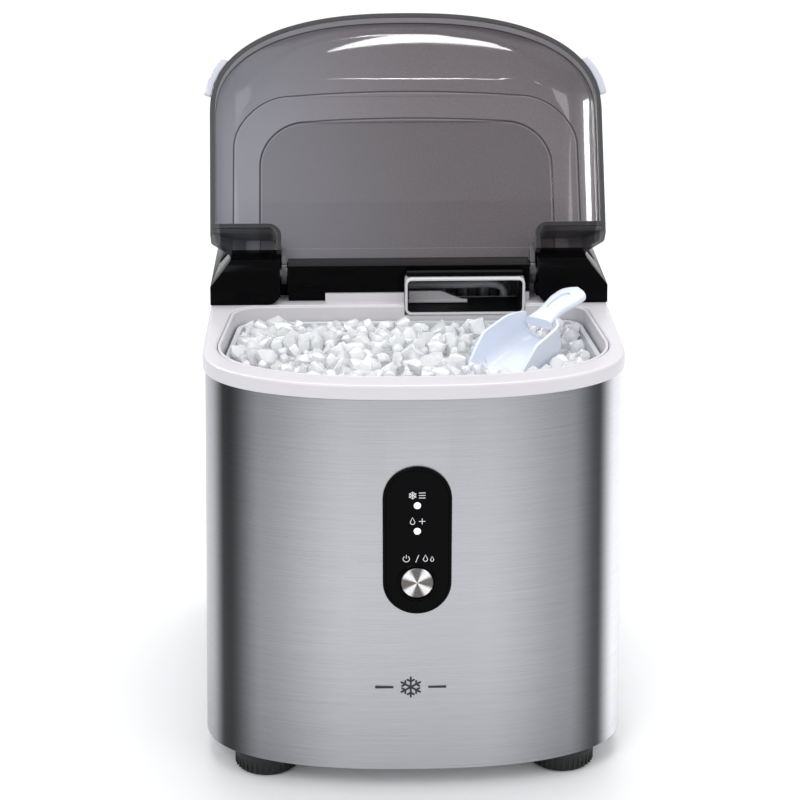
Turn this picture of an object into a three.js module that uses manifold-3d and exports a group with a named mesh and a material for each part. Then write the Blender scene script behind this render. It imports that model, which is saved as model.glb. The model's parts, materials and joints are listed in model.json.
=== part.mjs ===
// Countertop ice maker: brushed steel body, white tub, ice basket, smoked lid and the works inside.
// Millimetres, +Z up, front towards -Y, origin at the bottom centre. The lid stands open at rest.
import * as THREE from 'three';
import { mergeVertices } from 'three/addons/utils/BufferGeometryUtils.js';
import Module from 'manifold-3d';

const wasm = await Module();
wasm.setup();

// ---------- driving dimensions ----------
const gap = 0.3;            // between pieces that touch
const reach = 400;          // longer than the whole object, for cutting blocks

const plan = {
  halfWidth: 121.5, rearHalfWidth: 119.5, frontY: -151.5, rearY: 151.5,
  cornerDepth: 67, roundness: 2.4, rearRadius: 20,
};
const well = {
  halfWidth: 113, rearHalfWidth: 108, frontY: -135.5, rearY: -3.5,
  cornerDepth: 60.5, roundness: 2.4, rearRadius: 18,
};

const footHeight = 14;
const foot = { x: 88, y: 112, topRadius: 20, bottomRadius: 18 };
const rimTop = 252;
const rimBand = 8.5;
const rimBottom = rimTop - rimBand;
const steelInset = 1.5;
const steelThickness = 0.8;
const steelTop = rimBottom - gap;
const sheetEndY = 128;      // where the steel wrap stops and the rear panel starts
const flare = 5;            // the steel body is this much wider on each side at the bottom

const coverHeight = 26.4;   // lid and deck stand this far above the rim
const coverKnee = 11;       // height of their upright skirt
const coverInset = 12.4;    // how far the sloping shoulder leans in
const coverBottom = rimTop + gap;
const coverTop = rimTop + coverHeight;

const hinge = { y: 15.7, z: rimTop + 15, openAngle: 126.5, pinRadius: 3 };
const blockInnerX = 78.5;   // inner face of the hinge blocks
const tabHalfWidth = 77.5;
const tabWall = 3;
const deckFrontY = 39;
const barHalfWidth = 73.7;

const duct = { x0: -2.7, x1: 70.1, z0: 246, z1: 269.3, y0: -6.5, y1: 23.7, wall: 1.6 };
const chamber = { x0: -8, x1: 78, y0: 24, y1: 72, z0: 222, z1: 264.2, wall: 1.8 };
const tray = { y: 46.5, z: 246, radius: 20, wall: 1.5, x0: -3, x1: 73 };
const pusher = { y: 12, z: 249.4, radius: 1.3, x0: 0.2, x1: 36 };

const tubFloor = 100;
const basketFloor = 128;
const basketTop = 243;

const panel = { halfWidth: 19.5, z0: 114.5, z1: 204, face: -151.9 };
const button = { z: 134, radius: 9.3, travel: 1 };
const ledHeights = [181, 165.5];

const fan = { x: 60, z: 95, y: 97, radius: 38 };
const drain = { x: 80, z: 45 };
const gland = { x: -80, z: 45 };
const rearMost = 152.6;

// ---------- materials ----------
function paint(color, roughness, metalness = 0) {
  return new THREE.MeshStandardMaterial({ color, roughness, metalness });
}

const white = paint(0xf1f2f2, 0.3);
const softWhite = paint(0xe4e6e6, 0.5);
const black = paint(0x18181b, 0.35);
const rubber = paint(0x111112, 0.8);
const steel = paint(0xb7b9bb, 0.32, 1);
const chrome = paint(0xdedfe0, 0.12, 1);
const zinc = paint(0xa4a7aa, 0.45, 1);
const copper = paint(0xb56b45, 0.35, 1);
const aluminium = paint(0xc3c6c8, 0.4, 1);
const smoke = new THREE.MeshStandardMaterial({
  color: 0x57555d, roughness: 0.12, transparent: true, opacity: 0.75,
});
const frosted = new THREE.MeshStandardMaterial({
  color: 0xb9bec2, roughness: 0.35, transparent: true, opacity: 0.7,
});
const paleBlue = paint(0xa9bac8, 0.35);
const boardGreen = paint(0x1f5a3a, 0.6);
const lampWhite = paint(0xf7f9fb, 0.2);
const hoseClear = paint(0xc9ccc6, 0.4);
const compressorBlack = paint(0x1d1e20, 0.5);

// ---------- solids ----------
function solid(geometry) {
  const bare = geometry.clone();
  bare.deleteAttribute('normal');
  bare.deleteAttribute('uv');
  const merged = mergeVertices(bare, 1e-4);
  return new wasm.Manifold(new wasm.Mesh({
    numProp: 3,
    vertProperties: new Float32Array(merged.attributes.position.array),
    triVerts: new Uint32Array(merged.index.array),
  }));
}

function geometryOf(body) {
  const mesh = body.getMesh();
  const geometry = new THREE.BufferGeometry();
  geometry.setAttribute('position', new THREE.BufferAttribute(mesh.vertProperties, 3));
  geometry.setIndex(new THREE.BufferAttribute(mesh.triVerts, 1));
  geometry.computeVertexNormals();
  return geometry;
}

function join(first, ...others) {
  return others.reduce((sum, body) => sum.add(body), first);
}

function cut(first, ...others) {
  return others.reduce((rest, body) => rest.subtract(body), first);
}

function box(x0, x1, y0, y1, z0, z1) {
  const geometry = new THREE.BoxGeometry(x1 - x0, y1 - y0, z1 - z0);
  geometry.translate((x0 + x1) / 2, (y0 + y1) / 2, (z0 + z1) / 2);
  return solid(geometry);
}

function shapeOf(points) {
  return new THREE.Shape(points.map(([u, v]) => new THREE.Vector2(u, v)));
}

// outline in X and Y, pulled up along Z
function prismZ(points, z0, z1) {
  const geometry = new THREE.ExtrudeGeometry(shapeOf(points), { depth: z1 - z0, bevelEnabled: false });
  geometry.translate(0, 0, z0);
  return solid(geometry);
}

// outline in Y and Z, pulled along X
function prismX(points, x0, x1) {
  const geometry = new THREE.ExtrudeGeometry(shapeOf(points), { depth: x1 - x0, bevelEnabled: false });
  geometry.translate(0, 0, x0);
  const turn = new THREE.Matrix4().makeBasis(
    new THREE.Vector3(0, 1, 0), new THREE.Vector3(0, 0, 1), new THREE.Vector3(1, 0, 0));
  return solid(geometry.applyMatrix4(turn));
}

// outline in X and Z, pulled along Y
function prismY(points, y0, y1) {
  const geometry = new THREE.ExtrudeGeometry(shapeOf(points), { depth: y1 - y0, bevelEnabled: false });
  geometry.translate(0, 0, -y1);
  const turn = new THREE.Matrix4().makeBasis(
    new THREE.Vector3(1, 0, 0), new THREE.Vector3(0, 0, 1), new THREE.Vector3(0, -1, 0));
  return solid(geometry.applyMatrix4(turn));
}

function cylinder(radius, height, sides) {
  return new THREE.CylinderGeometry(radius, radius, height, sides);
}

function rodX(radius, x0, x1, y, z, sides = 20) {
  return solid(cylinder(radius, x1 - x0, sides).rotateZ(Math.PI / 2).translate((x0 + x1) / 2, y, z));
}

function rodY(radius, y0, y1, x, z, sides = 24) {
  return solid(cylinder(radius, y1 - y0, sides).translate(x, (y0 + y1) / 2, z));
}

function rodZ(radius, z0, z1, x, y, sides = 24) {
  return solid(cylinder(radius, z1 - z0, sides).rotateX(Math.PI / 2).translate(x, y, (z0 + z1) / 2));
}

// profile of [radius, height] turned about Z
function turned(profile, sides, x, y) {
  const points = profile.map(([r, z]) => new THREE.Vector2(r, z));
  const geometry = new THREE.LatheGeometry(points, sides).rotateX(Math.PI / 2);
  return solid(geometry.translate(x, y, 0));
}

function tube(points, radius, sides = 8, steps = 40) {
  const path = new THREE.CatmullRomCurve3(points.map((p) => new THREE.Vector3(...p)), false, 'centripetal');
  const section = new THREE.Shape(new THREE.Path().absarc(0, 0, radius, 0, Math.PI * 2).getPoints(sides / 2));
  return solid(new THREE.ExtrudeGeometry(section, { extrudePath: path, steps, bevelEnabled: false }));
}

// ---------- outlines ----------
function arc(cx, cy, radius, from, to, steps) {
  const points = [];
  for (let i = 0; i <= steps; i++) {
    const angle = THREE.MathUtils.degToRad(from + (to - from) * i / steps);
    points.push([cx + radius * Math.cos(angle), cy + radius * Math.sin(angle)]);
  }
  return points;
}

// rounded front, nearly straight sides, small rear corners; counter-clockwise
function outline(d, frontSteps = 13) {
  const power = 2 / d.roundness;
  const points = [];
  for (let i = -frontSteps; i <= frontSteps; i++) {
    const angle = i / frontSteps * Math.PI / 2;
    const side = Math.sign(i) * Math.abs(Math.sin(angle)) ** power;
    const depth = Math.abs(Math.cos(angle)) ** power;
    points.push([d.halfWidth * side, d.frontY + d.cornerDepth * (1 - depth)]);
  }
  const cornerX = d.rearHalfWidth - d.rearRadius;
  const cornerY = d.rearY - d.rearRadius;
  points.push(...arc(cornerX, cornerY, d.rearRadius, 0, 90, 5));
  points.push(...arc(-cornerX, cornerY, d.rearRadius, 90, 180, 5));
  return points;
}

// every edge of a counter-clockwise outline moved inwards
function inset(points, distance) {
  const count = points.length;
  const normal = (a, b) => {
    const length = Math.hypot(b[0] - a[0], b[1] - a[1]);
    return [(a[1] - b[1]) / length, (b[0] - a[0]) / length];
  };
  return points.map((point, i) => {
    const before = normal(points[(i + count - 1) % count], point);
    const after = normal(point, points[(i + 1) % count]);
    const scale = distance / (1 + before[0] * after[0] + before[1] * after[1]);
    return [point[0] + (before[0] + after[0]) * scale, point[1] + (before[1] + after[1]) * scale];
  });
}

const bodyOutline = outline(plan);
const wellOutline = outline(well);

function ring(points, outer, inner, z0, z1) {
  return prismZ(inset(points, outer), z0, z1).subtract(prismZ(inset(points, inner), z0 - 1, z1 + 1));
}

// the body outline with an upright skirt up to knee, then a shoulder leaning in to the top
function capped(points, bottom, knee, top, lean) {
  const geometry = new THREE.ExtrudeGeometry(shapeOf(points), {
    depth: knee - bottom, bevelEnabled: true, bevelThickness: top - knee,
    bevelSize: lean, bevelOffset: -lean, bevelSegments: 1,
  });
  geometry.translate(0, 0, bottom);
  return solid(geometry).intersect(box(-reach, reach, -reach, reach, bottom, top));
}

// wider in X towards the bottom, as the steel body is
function flared(body) {
  const spread = flare / (plan.halfWidth - steelInset) / (steelTop - footHeight);
  return body.warp((vertex) => {
    vertex[0] *= 1 + spread * (steelTop - vertex[2]);
  });
}

function stadium(halfWidth, z0, z1, steps = 10) {
  return [
    ...arc(0, z1 - halfWidth, halfWidth, 0, 180, steps),
    ...arc(0, z0 + halfWidth, halfWidth, 180, 360, steps),
  ];
}

function roundedRect(u0, u1, v0, v1, radius, steps = 4) {
  return [
    ...arc(u1 - radius, v1 - radius, radius, 0, 90, steps),
    ...arc(u0 + radius, v1 - radius, radius, 90, 180, steps),
    ...arc(u0 + radius, v0 + radius, radius, 180, 270, steps),
    ...arc(u1 - radius, v0 + radius, radius, 270, 360, steps),
  ];
}

// ---------- outer body ----------
const iceMaker = new THREE.Group();

function addTo(group, name, body, material) {
  const mesh = new THREE.Mesh(geometryOf(body), material);
  mesh.name = name;
  group.add(mesh);
  return mesh;
}

function add(name, body, material) {
  return addTo(iceMaker, name, body, material);
}

function feet() {
  const corners = { front_left: [-1, -1], front_right: [1, -1], rear_left: [-1, 1], rear_right: [1, 1] };
  const profile = [
    [0, 0], [foot.bottomRadius - 1.5, 0], [foot.bottomRadius, 1.5],
    [foot.topRadius, footHeight - 3], [foot.topRadius, footHeight], [0, footHeight],
  ];
  for (const [corner, [sx, sy]] of Object.entries(corners)) {
    add(`foot_${corner}`, turned(profile, 24, sx * foot.x, sy * foot.y), rubber);
  }
}

const panFloor = footHeight + gap;
const panThickness = 3;

function basePan() {
  const floor = prismZ(inset(bodyOutline, 3.8), panFloor, panFloor + panThickness);
  const upstand = ring(bodyOutline, 3.8, 5.8, panFloor, 30);
  add('base_pan', flared(join(floor, upstand)), softWhite);
}

function steelWrap() {
  const sheet = ring(bodyOutline, steelInset, steelInset + steelThickness, footHeight, steelTop);
  const wrap = flared(sheet).intersect(box(-reach, reach, -reach, sheetEndY, 0, reach));
  const opening = prismY(stadium(panel.halfWidth - 3.5, panel.z0 + 3.5, panel.z1 - 3.5), -reach, -140);
  add('steel_wrap', cut(wrap, opening), steel);
}

const screwPlaces = [[-100, 60], [100, 60], [-100, 225], [100, 225]];

function rearPanel() {
  const shell = ring(bodyOutline, steelInset, steelInset + 2, footHeight, steelTop);
  let back = flared(shell).intersect(box(-reach, reach, sheetEndY + gap, reach, 0, reach));
  const slotHeight = 4;
  for (let row = 0; row < 9; row++) {
    const z = 62 + row * 9;
    back = cut(back, box(22, 90, 140, 160, z, z + slotHeight), box(-90, -22, 140, 160, z, z + slotHeight));
  }
  back = cut(back, rodY(8.6, 140, 160, gland.x, gland.z), rodY(11.3, 140, 160, drain.x, drain.z));
  for (const [x, z] of screwPlaces) back = cut(back, rodY(2.1, 140, 160, x, z, 10));
  add('rear_panel', back, softWhite);
}

function rearScrews() {
  screwPlaces.forEach(([x, z], i) => {
    const head = rodY(3.6, 150 + gap, rearMost, x, z, 16);
    const shank = rodY(1.7, 139, 151, x, z, 10);
    add(`rear_screw_${i + 1}`, join(head, shank), zinc);
  });
}

function cordGland() {
  const collar = rodY(8.2, 144, rearMost, gland.x, gland.z);
  add('cord_gland', cut(collar, rodY(3.4, 143, 154, gland.x, gland.z, 16)), rubber);
}

// ---------- rim, tub and basket ----------
const windowCut = box(duct.x0 - gap, duct.x1 + gap, -20, 25, duct.z0 - gap, reach);

function topRim() {
  const top = capped(bodyOutline, rimBottom, rimTop - 1.4, rimTop, 1.4);
  const under = prismZ(inset(bodyOutline, 2.5), rimBottom - 1, rimTop - 2.5);
  const skirt = ring(bodyOutline, 3.8, 5.8, rimBottom - 7, rimTop - 2);
  const step = box(-barHalfWidth, barHalfWidth, 3.5, 15.5, rimTop - 2, rimTop + 5.2);
  const wellOpening = prismZ(inset(wellOutline, -gap), 0, rimTop + 1);
  const rearOpening = box(-108, 108, 18, 136, 0, reach);
  const rim = join(cut(top, under), skirt, step);
  add('top_rim', cut(rim, wellOpening, rearOpening, windowCut), white);
}

const tubWall = 2;
const tubPorts = { pump: [-40, -60], drain: [90, -30], level: [40, -60] };
const chute = { x0: 8, x1: 60, z0: 222.5, z1: 233.5 };

function innerTub() {
  const outer = prismZ(wellOutline, tubFloor, rimTop - gap);
  const inner = prismZ(inset(wellOutline, tubWall), tubFloor + 2.5, reach);
  const ledge = ring(wellOutline, tubWall - 0.5, 7, basketFloor - 4, basketFloor - gap);
  const slot = box(chute.x0 + 1.5, chute.x1 - 1.5, -10, 0, chute.z0 + 1.5, chute.z1 - 1.5);
  const ports = Object.values(tubPorts).map(([x, y]) => rodZ(3.5, tubFloor - 1, tubFloor + 4, x, y, 16));
  add('inner_tub', cut(join(cut(outer, inner), ledge), windowCut, slot, ...ports), white);
}

function iceBasket() {
  const outer = prismZ(inset(wellOutline, 5), basketFloor, basketTop);
  const inner = prismZ(inset(wellOutline, 6.8), basketFloor + 2, reach);
  let basket = cut(outer, inner);
  for (let column = -3; column <= 3; column++) {
    for (let row = 0; row < 3; row++) {
      const x = column * 25;
      const y = -110 + row * 33;
      basket = cut(basket, box(x - 4, x + 4, y, y + 24, basketFloor - 1, basketFloor + 3));
    }
  }
  const lip = ring(wellOutline, 3.4, 5.4, basketTop - 2, basketTop);
  add('ice_basket', join(basket, lip), frosted);
}

// ---------- deck with the hinge blocks ----------
function sidePrism(points, x0, x1) {
  return join(prismX(points, x0, x1), prismX(points, -x1, -x0));
}

// side view of a hinge block and the deck behind it, shrunk by a wall
function blockProfile(wall) {
  const radius = 16 - wall;
  const top = coverTop - wall;
  const lift = Math.asin((top - hinge.z) / radius) * 180 / Math.PI;
  const grooveFloor = 268 - wall;
  const rear = Math.acos(0.06) * 180 / Math.PI;
  const lowRear = Math.asin((grooveFloor - hinge.z) / radius) * 180 / Math.PI;
  return [
    [-2.5 + wall, coverBottom - wall],
    ...arc(hinge.y, hinge.z, radius, 90 + rear, 180 - lift, 6),
    ...arc(hinge.y, hinge.z, radius, lift, lowRear, 5),
    [deckFrontY + wall, grooveFloor], [deckFrontY + wall, top],
    [reach, top], [reach, coverBottom - wall],
  ];
}

function cornerRound(side) {
  const radius = 7;
  const x = blockInnerX;
  const points = [
    [x - 1, coverBottom - 1], [x + radius, coverBottom - 1],
    ...arc(x + radius, coverBottom + radius, radius, 270, 180, 5), [x - 1, coverBottom + radius],
  ];
  return prismY(points.map(([px, pz]) => [side * px, pz]), -10, 12);
}

function rearDeck() {
  const wall = 2.5;
  const shell = capped(bodyOutline, coverBottom, rimTop + coverKnee, coverTop, coverInset);
  const deckBack = box(-blockInnerX, blockInnerX, deckFrontY, reach, coverBottom, coverTop);
  const grooveFloor = box(-barHalfWidth, barHalfWidth, 20, deckFrontY + 1, 264.5, 266.5);
  const bar = box(-barHalfWidth, barHalfWidth, 5, 22, rimTop + 5.5, hinge.z + 7.2);
  const keep = join(sidePrism(blockProfile(0), blockInnerX, reach), deckBack, grooveFloor, bar);
  const inside = capped(inset(bodyOutline, wall), coverBottom - 5, rimTop + coverKnee - 1,
    coverTop - wall, coverInset);
  const hollow = join(
    sidePrism(blockProfile(wall), blockInnerX + wall, reach),
    box(-blockInnerX - wall, blockInnerX + wall, deckFrontY + wall, reach, 0, coverTop),
    box(-blockInnerX - wall, blockInnerX + wall, 33, deckFrontY + 5, 0, 264.5),
  ).intersect(inside);
  const windowGap = box(duct.x0 - gap, duct.x1 + gap, 0, duct.y1 + gap, 0, duct.z1 + gap);
  const bores = rodX(hinge.pinRadius + gap, -90, 90, hinge.y, hinge.z)
    .subtract(box(-barHalfWidth, barHalfWidth, 0, 40, 0, reach));
  const deck = cut(shell.intersect(keep), hollow, windowGap, bores, cornerRound(1), cornerRound(-1));
  add('rear_deck', deck, black);
}

// ---------- lid, modelled closed inside a group that stands open ----------
const lidGroup = new THREE.Group();
const lidContents = new THREE.Group();
lidGroup.position.set(0, hinge.y, hinge.z);
lidGroup.rotation.x = THREE.MathUtils.degToRad(-hinge.openAngle);
lidContents.position.set(0, -hinge.y, -hinge.z);
lidGroup.add(lidContents);
iceMaker.add(lidGroup);

const lidEnd = { bottomY: -4, topY: 1, tabY: 6.2, wallY: -11.2 };
const frontSlope = { y: -108.5, rise: 10.4 / 39 };

// everything above the long slope at the front of the lid, lowered by a drop
function aboveSlope(drop) {
  const edge = coverTop - drop;
  const run = -frontSlope.y;
  const front = -160;
  return prismX([
    [front, edge + (front + run) * frontSlope.rise], [-run, edge], [-run, reach], [front, reach],
  ], -reach, reach);
}

function lidShell() {
  const wall = 3;
  const plate = 3.4;
  const ceiling = coverTop - plate;
  const full = capped(bodyOutline, coverBottom, rimTop + coverKnee, coverTop, coverInset);
  const mainBody = prismX([
    [-reach, coverBottom - 1], [lidEnd.bottomY, coverBottom - 1], [lidEnd.topY, coverTop + 1],
    [-reach, coverTop + 1],
  ], -reach, reach);
  const tab = box(-tabHalfWidth, tabHalfWidth, -20, lidEnd.tabY, coverBottom, coverTop);
  const outer = cut(full.intersect(join(mainBody, tab)), aboveSlope(0));
  const inside = cut(capped(inset(bodyOutline, wall), coverBottom - 5, rimTop + coverKnee - 1,
    ceiling, coverInset), aboveSlope(plate));
  const innerTab = tabHalfWidth - tabWall;
  const hollow = join(
    box(-reach, reach, -reach, lidEnd.wallY, 0, ceiling),
    box(-innerTab, innerTab, -20, 40, 0, ceiling),
    box(tabHalfWidth, reach, lidEnd.wallY + 2.6, 40, 0, ceiling),
    box(-reach, -tabHalfWidth, lidEnd.wallY + 2.6, 40, 0, ceiling),
  ).intersect(inside);
  const ear = (side) => {
    const x0 = side > 0 ? innerTab : -tabHalfWidth;
    const x1 = x0 + tabWall;
    return join(rodX(7.5, x0, x1, hinge.y, hinge.z, 28), box(x0, x1, 0, hinge.y, hinge.z - 7.5, hinge.z + 7.5));
  };
  const window = prismZ(roundedRect(-91, 91, -90.5, -24, 9), ceiling - 1, ceiling + 0.8);
  const bores = rodX(hinge.pinRadius + gap, -90, 90, hinge.y, hinge.z);
  addTo(lidContents, 'lid_shell', cut(join(cut(outer, hollow), ear(1), ear(-1)), bores, window), smoke);
}

function lidPins() {
  for (const [name, side] of [['lid_pin_left', -1], ['lid_pin_right', 1]]) {
    const spans = [side * 74.2, side * 86].sort((a, b) => a - b);
    addTo(lidContents, name, rodX(hinge.pinRadius, spans[0], spans[1], hinge.y, hinge.z, 20), zinc);
  }
}

// small pull tabs standing out beside the front corners of the lid
function lidTabs() {
  const path = bodyOutline.filter(([x, y]) => x > 0 && y > -122 && y < -94);
  for (const [name, side] of [['lid_tab_left', -1], ['lid_tab_right', 1]]) {
    const close = path.map(([x, y]) => [side * (x + gap), y]);
    const far = path.map(([x, y]) => [side * (x + 4.5), y - 1.5]).reverse();
    addTo(lidContents, name, prismZ([...close, ...far], coverBottom + 0.7, coverBottom + 4.2), lampWhite);
  }
}

// ---------- ice chamber ----------
const fingerRows = [tray.y - 6, tray.y + 6];
const nozzleY = tray.y - 15;

function windowDuct() {
  const { x0, x1, z0, z1, y0, y1, wall } = duct;
  const outer = prismY(roundedRect(x0, x1, z0, z1, 4), y0, y1);
  const inner = prismY(roundedRect(x0 + wall, x1 - wall, z0 + wall, z1 - wall, 2.6), y0 - 1, y1 + 1);
  const pinHole = rodX(1.3, x0 - 1, x0 + 3, pusher.y, pusher.z, 12);
  add('window_duct', cut(outer, inner, pinHole), white);
}

function iceChamber() {
  const { x0, x1, y0, y1, z0, z1, wall } = chamber;
  const shell = cut(box(x0, x1, y0, y1, z0, z1),
    box(x0 + wall, x1 - wall, y0 + wall, y1 - wall, z0 + wall, z1 - wall));
  const mouth = box(duct.x0 + 2, duct.x1 - 2, y0 - 1, y0 + 3, duct.z0 + 2, z1 - wall);
  const outlet = box(chute.x0 + 1.5, chute.x1 - 1.5, y0 - 1, y0 + 3, z0 + wall, chute.z1 - 1.5);
  const axleHoles = rodX(2.8, x0 - 1, x1 + 1, tray.y, tray.z, 16);
  const pipeHoles = fingerRows.map((y) => rodX(3.5, x1 - 4, x1 + 1, y, 258, 12));
  const nozzleHole = rodX(2.8, x0 - 1, x0 + 4, nozzleY, 253.5, 12);
  add('ice_chamber', cut(shell, mouth, outlet, axleHoles, ...pipeHoles, nozzleHole), white);
}

function returnChute() {
  const { x0, x1, z0, z1 } = chute;
  const y0 = well.rearY + gap;
  const y1 = chamber.y0 - gap;
  add('return_chute', cut(box(x0, x1, y0, y1, z0, z1),
    box(x0 + 1.5, x1 - 1.5, y0 - 1, y1 + 1, z0 + 1.5, z1 - 1.5)), softWhite);
}

function evaporator() {
  let body = box(2, 68, tray.y - 11, tray.y + 11, 256, 260);
  for (let i = 0; i < 5; i++) {
    for (const y of fingerRows) {
      const x = 9 + i * 13;
      body = join(body, turned([[0, 232], [2.6, 232], [4, 234], [4, 257], [0, 257]], 12, x, y));
    }
  }
  const stubs = fingerRows.map((y) => rodX(2.8, 60, 84, y, 258, 12));
  add('evaporator', join(body, ...stubs), aluminium);
}

function waterNozzle() {
  const run = [
    [-28, 23, 238], [-28, 23, 241], [-26, 25, 250], [-16, nozzleY, 253.5], [-6, nozzleY, 253.5],
    [30, nozzleY, 253.5], [55, nozzleY, 253.5], [59.5, nozzleY, 251], [60, nozzleY, 243.5],
  ];
  add('water_nozzle', tube(run, 2.2, 10, 36), softWhite);
}

function trayMotor() {
  const shell = prismX(roundedRect(tray.y - 12, tray.y + 12, 232, 260, 5), -46, -17);
  const boss = rodX(6, -17.5, -16.3, tray.y, tray.z, 20);
  const ears = box(-40, -36, tray.y - 18, tray.y + 18, 243, 249);
  add('tray_motor', join(shell, boss, ears), black);
}

function tiltingTray() {
  const { x0, x1, y, z, radius, wall } = tray;
  const section = [...arc(y, z, radius, 180, 360, 16), ...arc(y, z, radius - wall, 360, 180, 16)];
  const endPlate = arc(y, z, radius - 0.5, 180, 360, 16);
  const trough = join(
    prismX(section, x0, x1), prismX(endPlate, x0, x0 + wall), prismX(endPlate, x1 - wall, x1),
  );
  const hub = (a, b) => rodX(4.5, a, b, y, z, 20);
  const axle = (a, b) => rodX(2.3, a, b, y, z, 16);
  add('water_tray', join(trough, hub(x0, x0 + wall), hub(x1 - wall, x1), axle(x0 - 8, x0 + 0.5),
    axle(x1 - 0.5, x1 + 7)), softWhite);
  const coupler = cut(rodX(6, -15.9, -9.2, y, z, 20), rodX(2.3 + gap, -12, -9, y, z, 16));
  add('motor_coupler', coupler, black);
}

function icePusher() {
  const { x0, x1, y, z, radius } = pusher;
  const top = z + 6.5;
  const blade = prismY([[x0, z], [x1, z], [x0 + 19, top], [x0, top]], y - 0.7, y + 0.7);
  const barrel = rodX(radius, x0, x1, y, z, 14);
  const pin = rodX(0.95, duct.x0 + 0.4, x0 + 1, y, z, 12);
  add('ice_pusher', join(blade, barrel, pin), white);
}

// ---------- water circuit ----------
function waterCircuit() {
  const [px, py] = tubPorts.pump;
  const pump = join(
    rodZ(16, 70, 92, px, py), rodZ(20, 70, 73, px, py), rodZ(5, 91, tubFloor - gap, px, py, 16),
    rodY(4.2, py + 10, py + 21, px, 80, 16),
  );
  add('water_pump', pump, black);
  const hose = [
    [px, py + 21.3, 80], [px, py + 25, 80], [px, -20, 80], [-38, 2, 95], [-34, 9, 130], [-30, 12, 200],
    [-28, 22, 228], [-28, 23, 234], [-28, 23, 237.6],
  ];
  add('pump_hose', tube(hose, 3.8, 10, 36), hoseClear);
  const [lx, ly] = tubPorts.level;
  add('water_level_sensor', join(rodZ(9, 88, tubFloor - gap, lx, ly), box(lx - 5, lx + 5, ly + 6, ly + 14, 90, 97)),
    black);
  const [dx, dy] = tubPorts.drain;
  const pipe = [
    [dx, dy, tubFloor - gap], [dx, dy, 94], [dx, dy + 1, 62], [92, 8, 32], [90, 60, 29], [84, 116, 33],
    [drain.x, 133, drain.z], [drain.x, 140, drain.z], [drain.x, 143.4, drain.z],
  ];
  add('drain_pipe', tube(pipe, 5, 10, 36), hoseClear);
  const plug = join(rodY(9.5, 146, rearMost, drain.x, drain.z, 28), rodY(7, 143.7, 147, drain.x, drain.z, 20));
  add('drain_cap', plug, rubber);
}

function iceSensors() {
  for (const [name, side] of [['ice_sensor_left', -1], ['ice_sensor_right', 1]]) {
    const spans = [side * 111, side * 116.5].sort((a, b) => a - b);
    add(name, box(spans[0], spans[1], -46, -34, 224, 235), black);
  }
}

// ---------- cold circuit ----------
const compressor = { x: -55, y: 85, z0: 27, z1: 140, radius: 46 };

function compressorGroup() {
  const { x, y, z0, z1, radius } = compressor;
  const shell = turned([
    [0, z0], [radius - 12, z0], [radius - 3, z0 + 6], [radius, z0 + 16], [radius, z1 - 38],
    [radius - 3, z1 - 22], [radius - 14, z1 - 6], [radius - 28, z1], [0, z1],
  ], 32, x, y);
  let feetPlate = box(x - 59, x + 59, y - 10, y + 10, z0 - 2, z0 + 2);
  const bolts = [[x - 51.5, y], [x + 51.5, y]];
  for (const [bx, by] of bolts) feetPlate = cut(feetPlate, rodZ(4.6, z0 - 4, z0 + 4, bx, by, 16));
  const stubs = join(rodZ(3.4, z1 - 12, z1 + 3, x - 10, y, 12), rodZ(4, z1 - 12, z1 + 3, x + 15, y, 12));
  add('compressor', join(shell, feetPlate, stubs), compressorBlack);
  bolts.forEach(([bx, by], i) => {
    const low = panFloor + panThickness + gap;
    const profile = [
      [0, low], [6.5, low], [6.5, z0 - 2 - gap], [4.2, z0 - 2 - gap], [4.2, z0 + 2 + gap],
      [6.5, z0 + 2 + gap], [6.5, z0 + 6], [0, z0 + 6],
    ];
    add(`compressor_grommet_${i + 1}`, turned(profile, 20, bx, by), rubber);
  });
  add('terminal_cover', prismX(roundedRect(70, 100, 72, 108, 4), x + radius + gap + 0.4, x + radius + 10), black);
}

const coil = { x0: 10, x1: 110, y0: 58, y1: 86, z0: 40, z1: 148 };

function condenser() {
  const { x0, x1, y0, y1, z0, z1 } = coil;
  let body = box(x0, x0 + 1.5, y0, y1, z0, z1);
  const fins = 12;
  for (let i = 1; i <= fins; i++) {
    const x = x0 + (x1 - x0 - 1.5) * i / fins;
    body = join(body, box(x, x + 1.5, y0, y1, z0, z1));
  }
  for (let row = 0; row < 4; row++) {
    body = join(body, rodX(3.5, x0 - 5, x1 + 5, 72, z0 + 14 + row * 26, 8));
  }
  const inlet = join(rodX(3.2, x0 - 5, x0, 64, z1 - 10, 10), box(x0 - 5, x0 + 1, 62, 74, z1 - 13, z1 - 7));
  const outlet = rodZ(3.2, z1 - 4, z1 + 8, 90, 76, 10);
  const topBar = box(x0, x1, 73, 79, z1 - 5, z1 - 1);
  add('condenser', join(body, inlet, outlet, topBar), aluminium);
}

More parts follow.
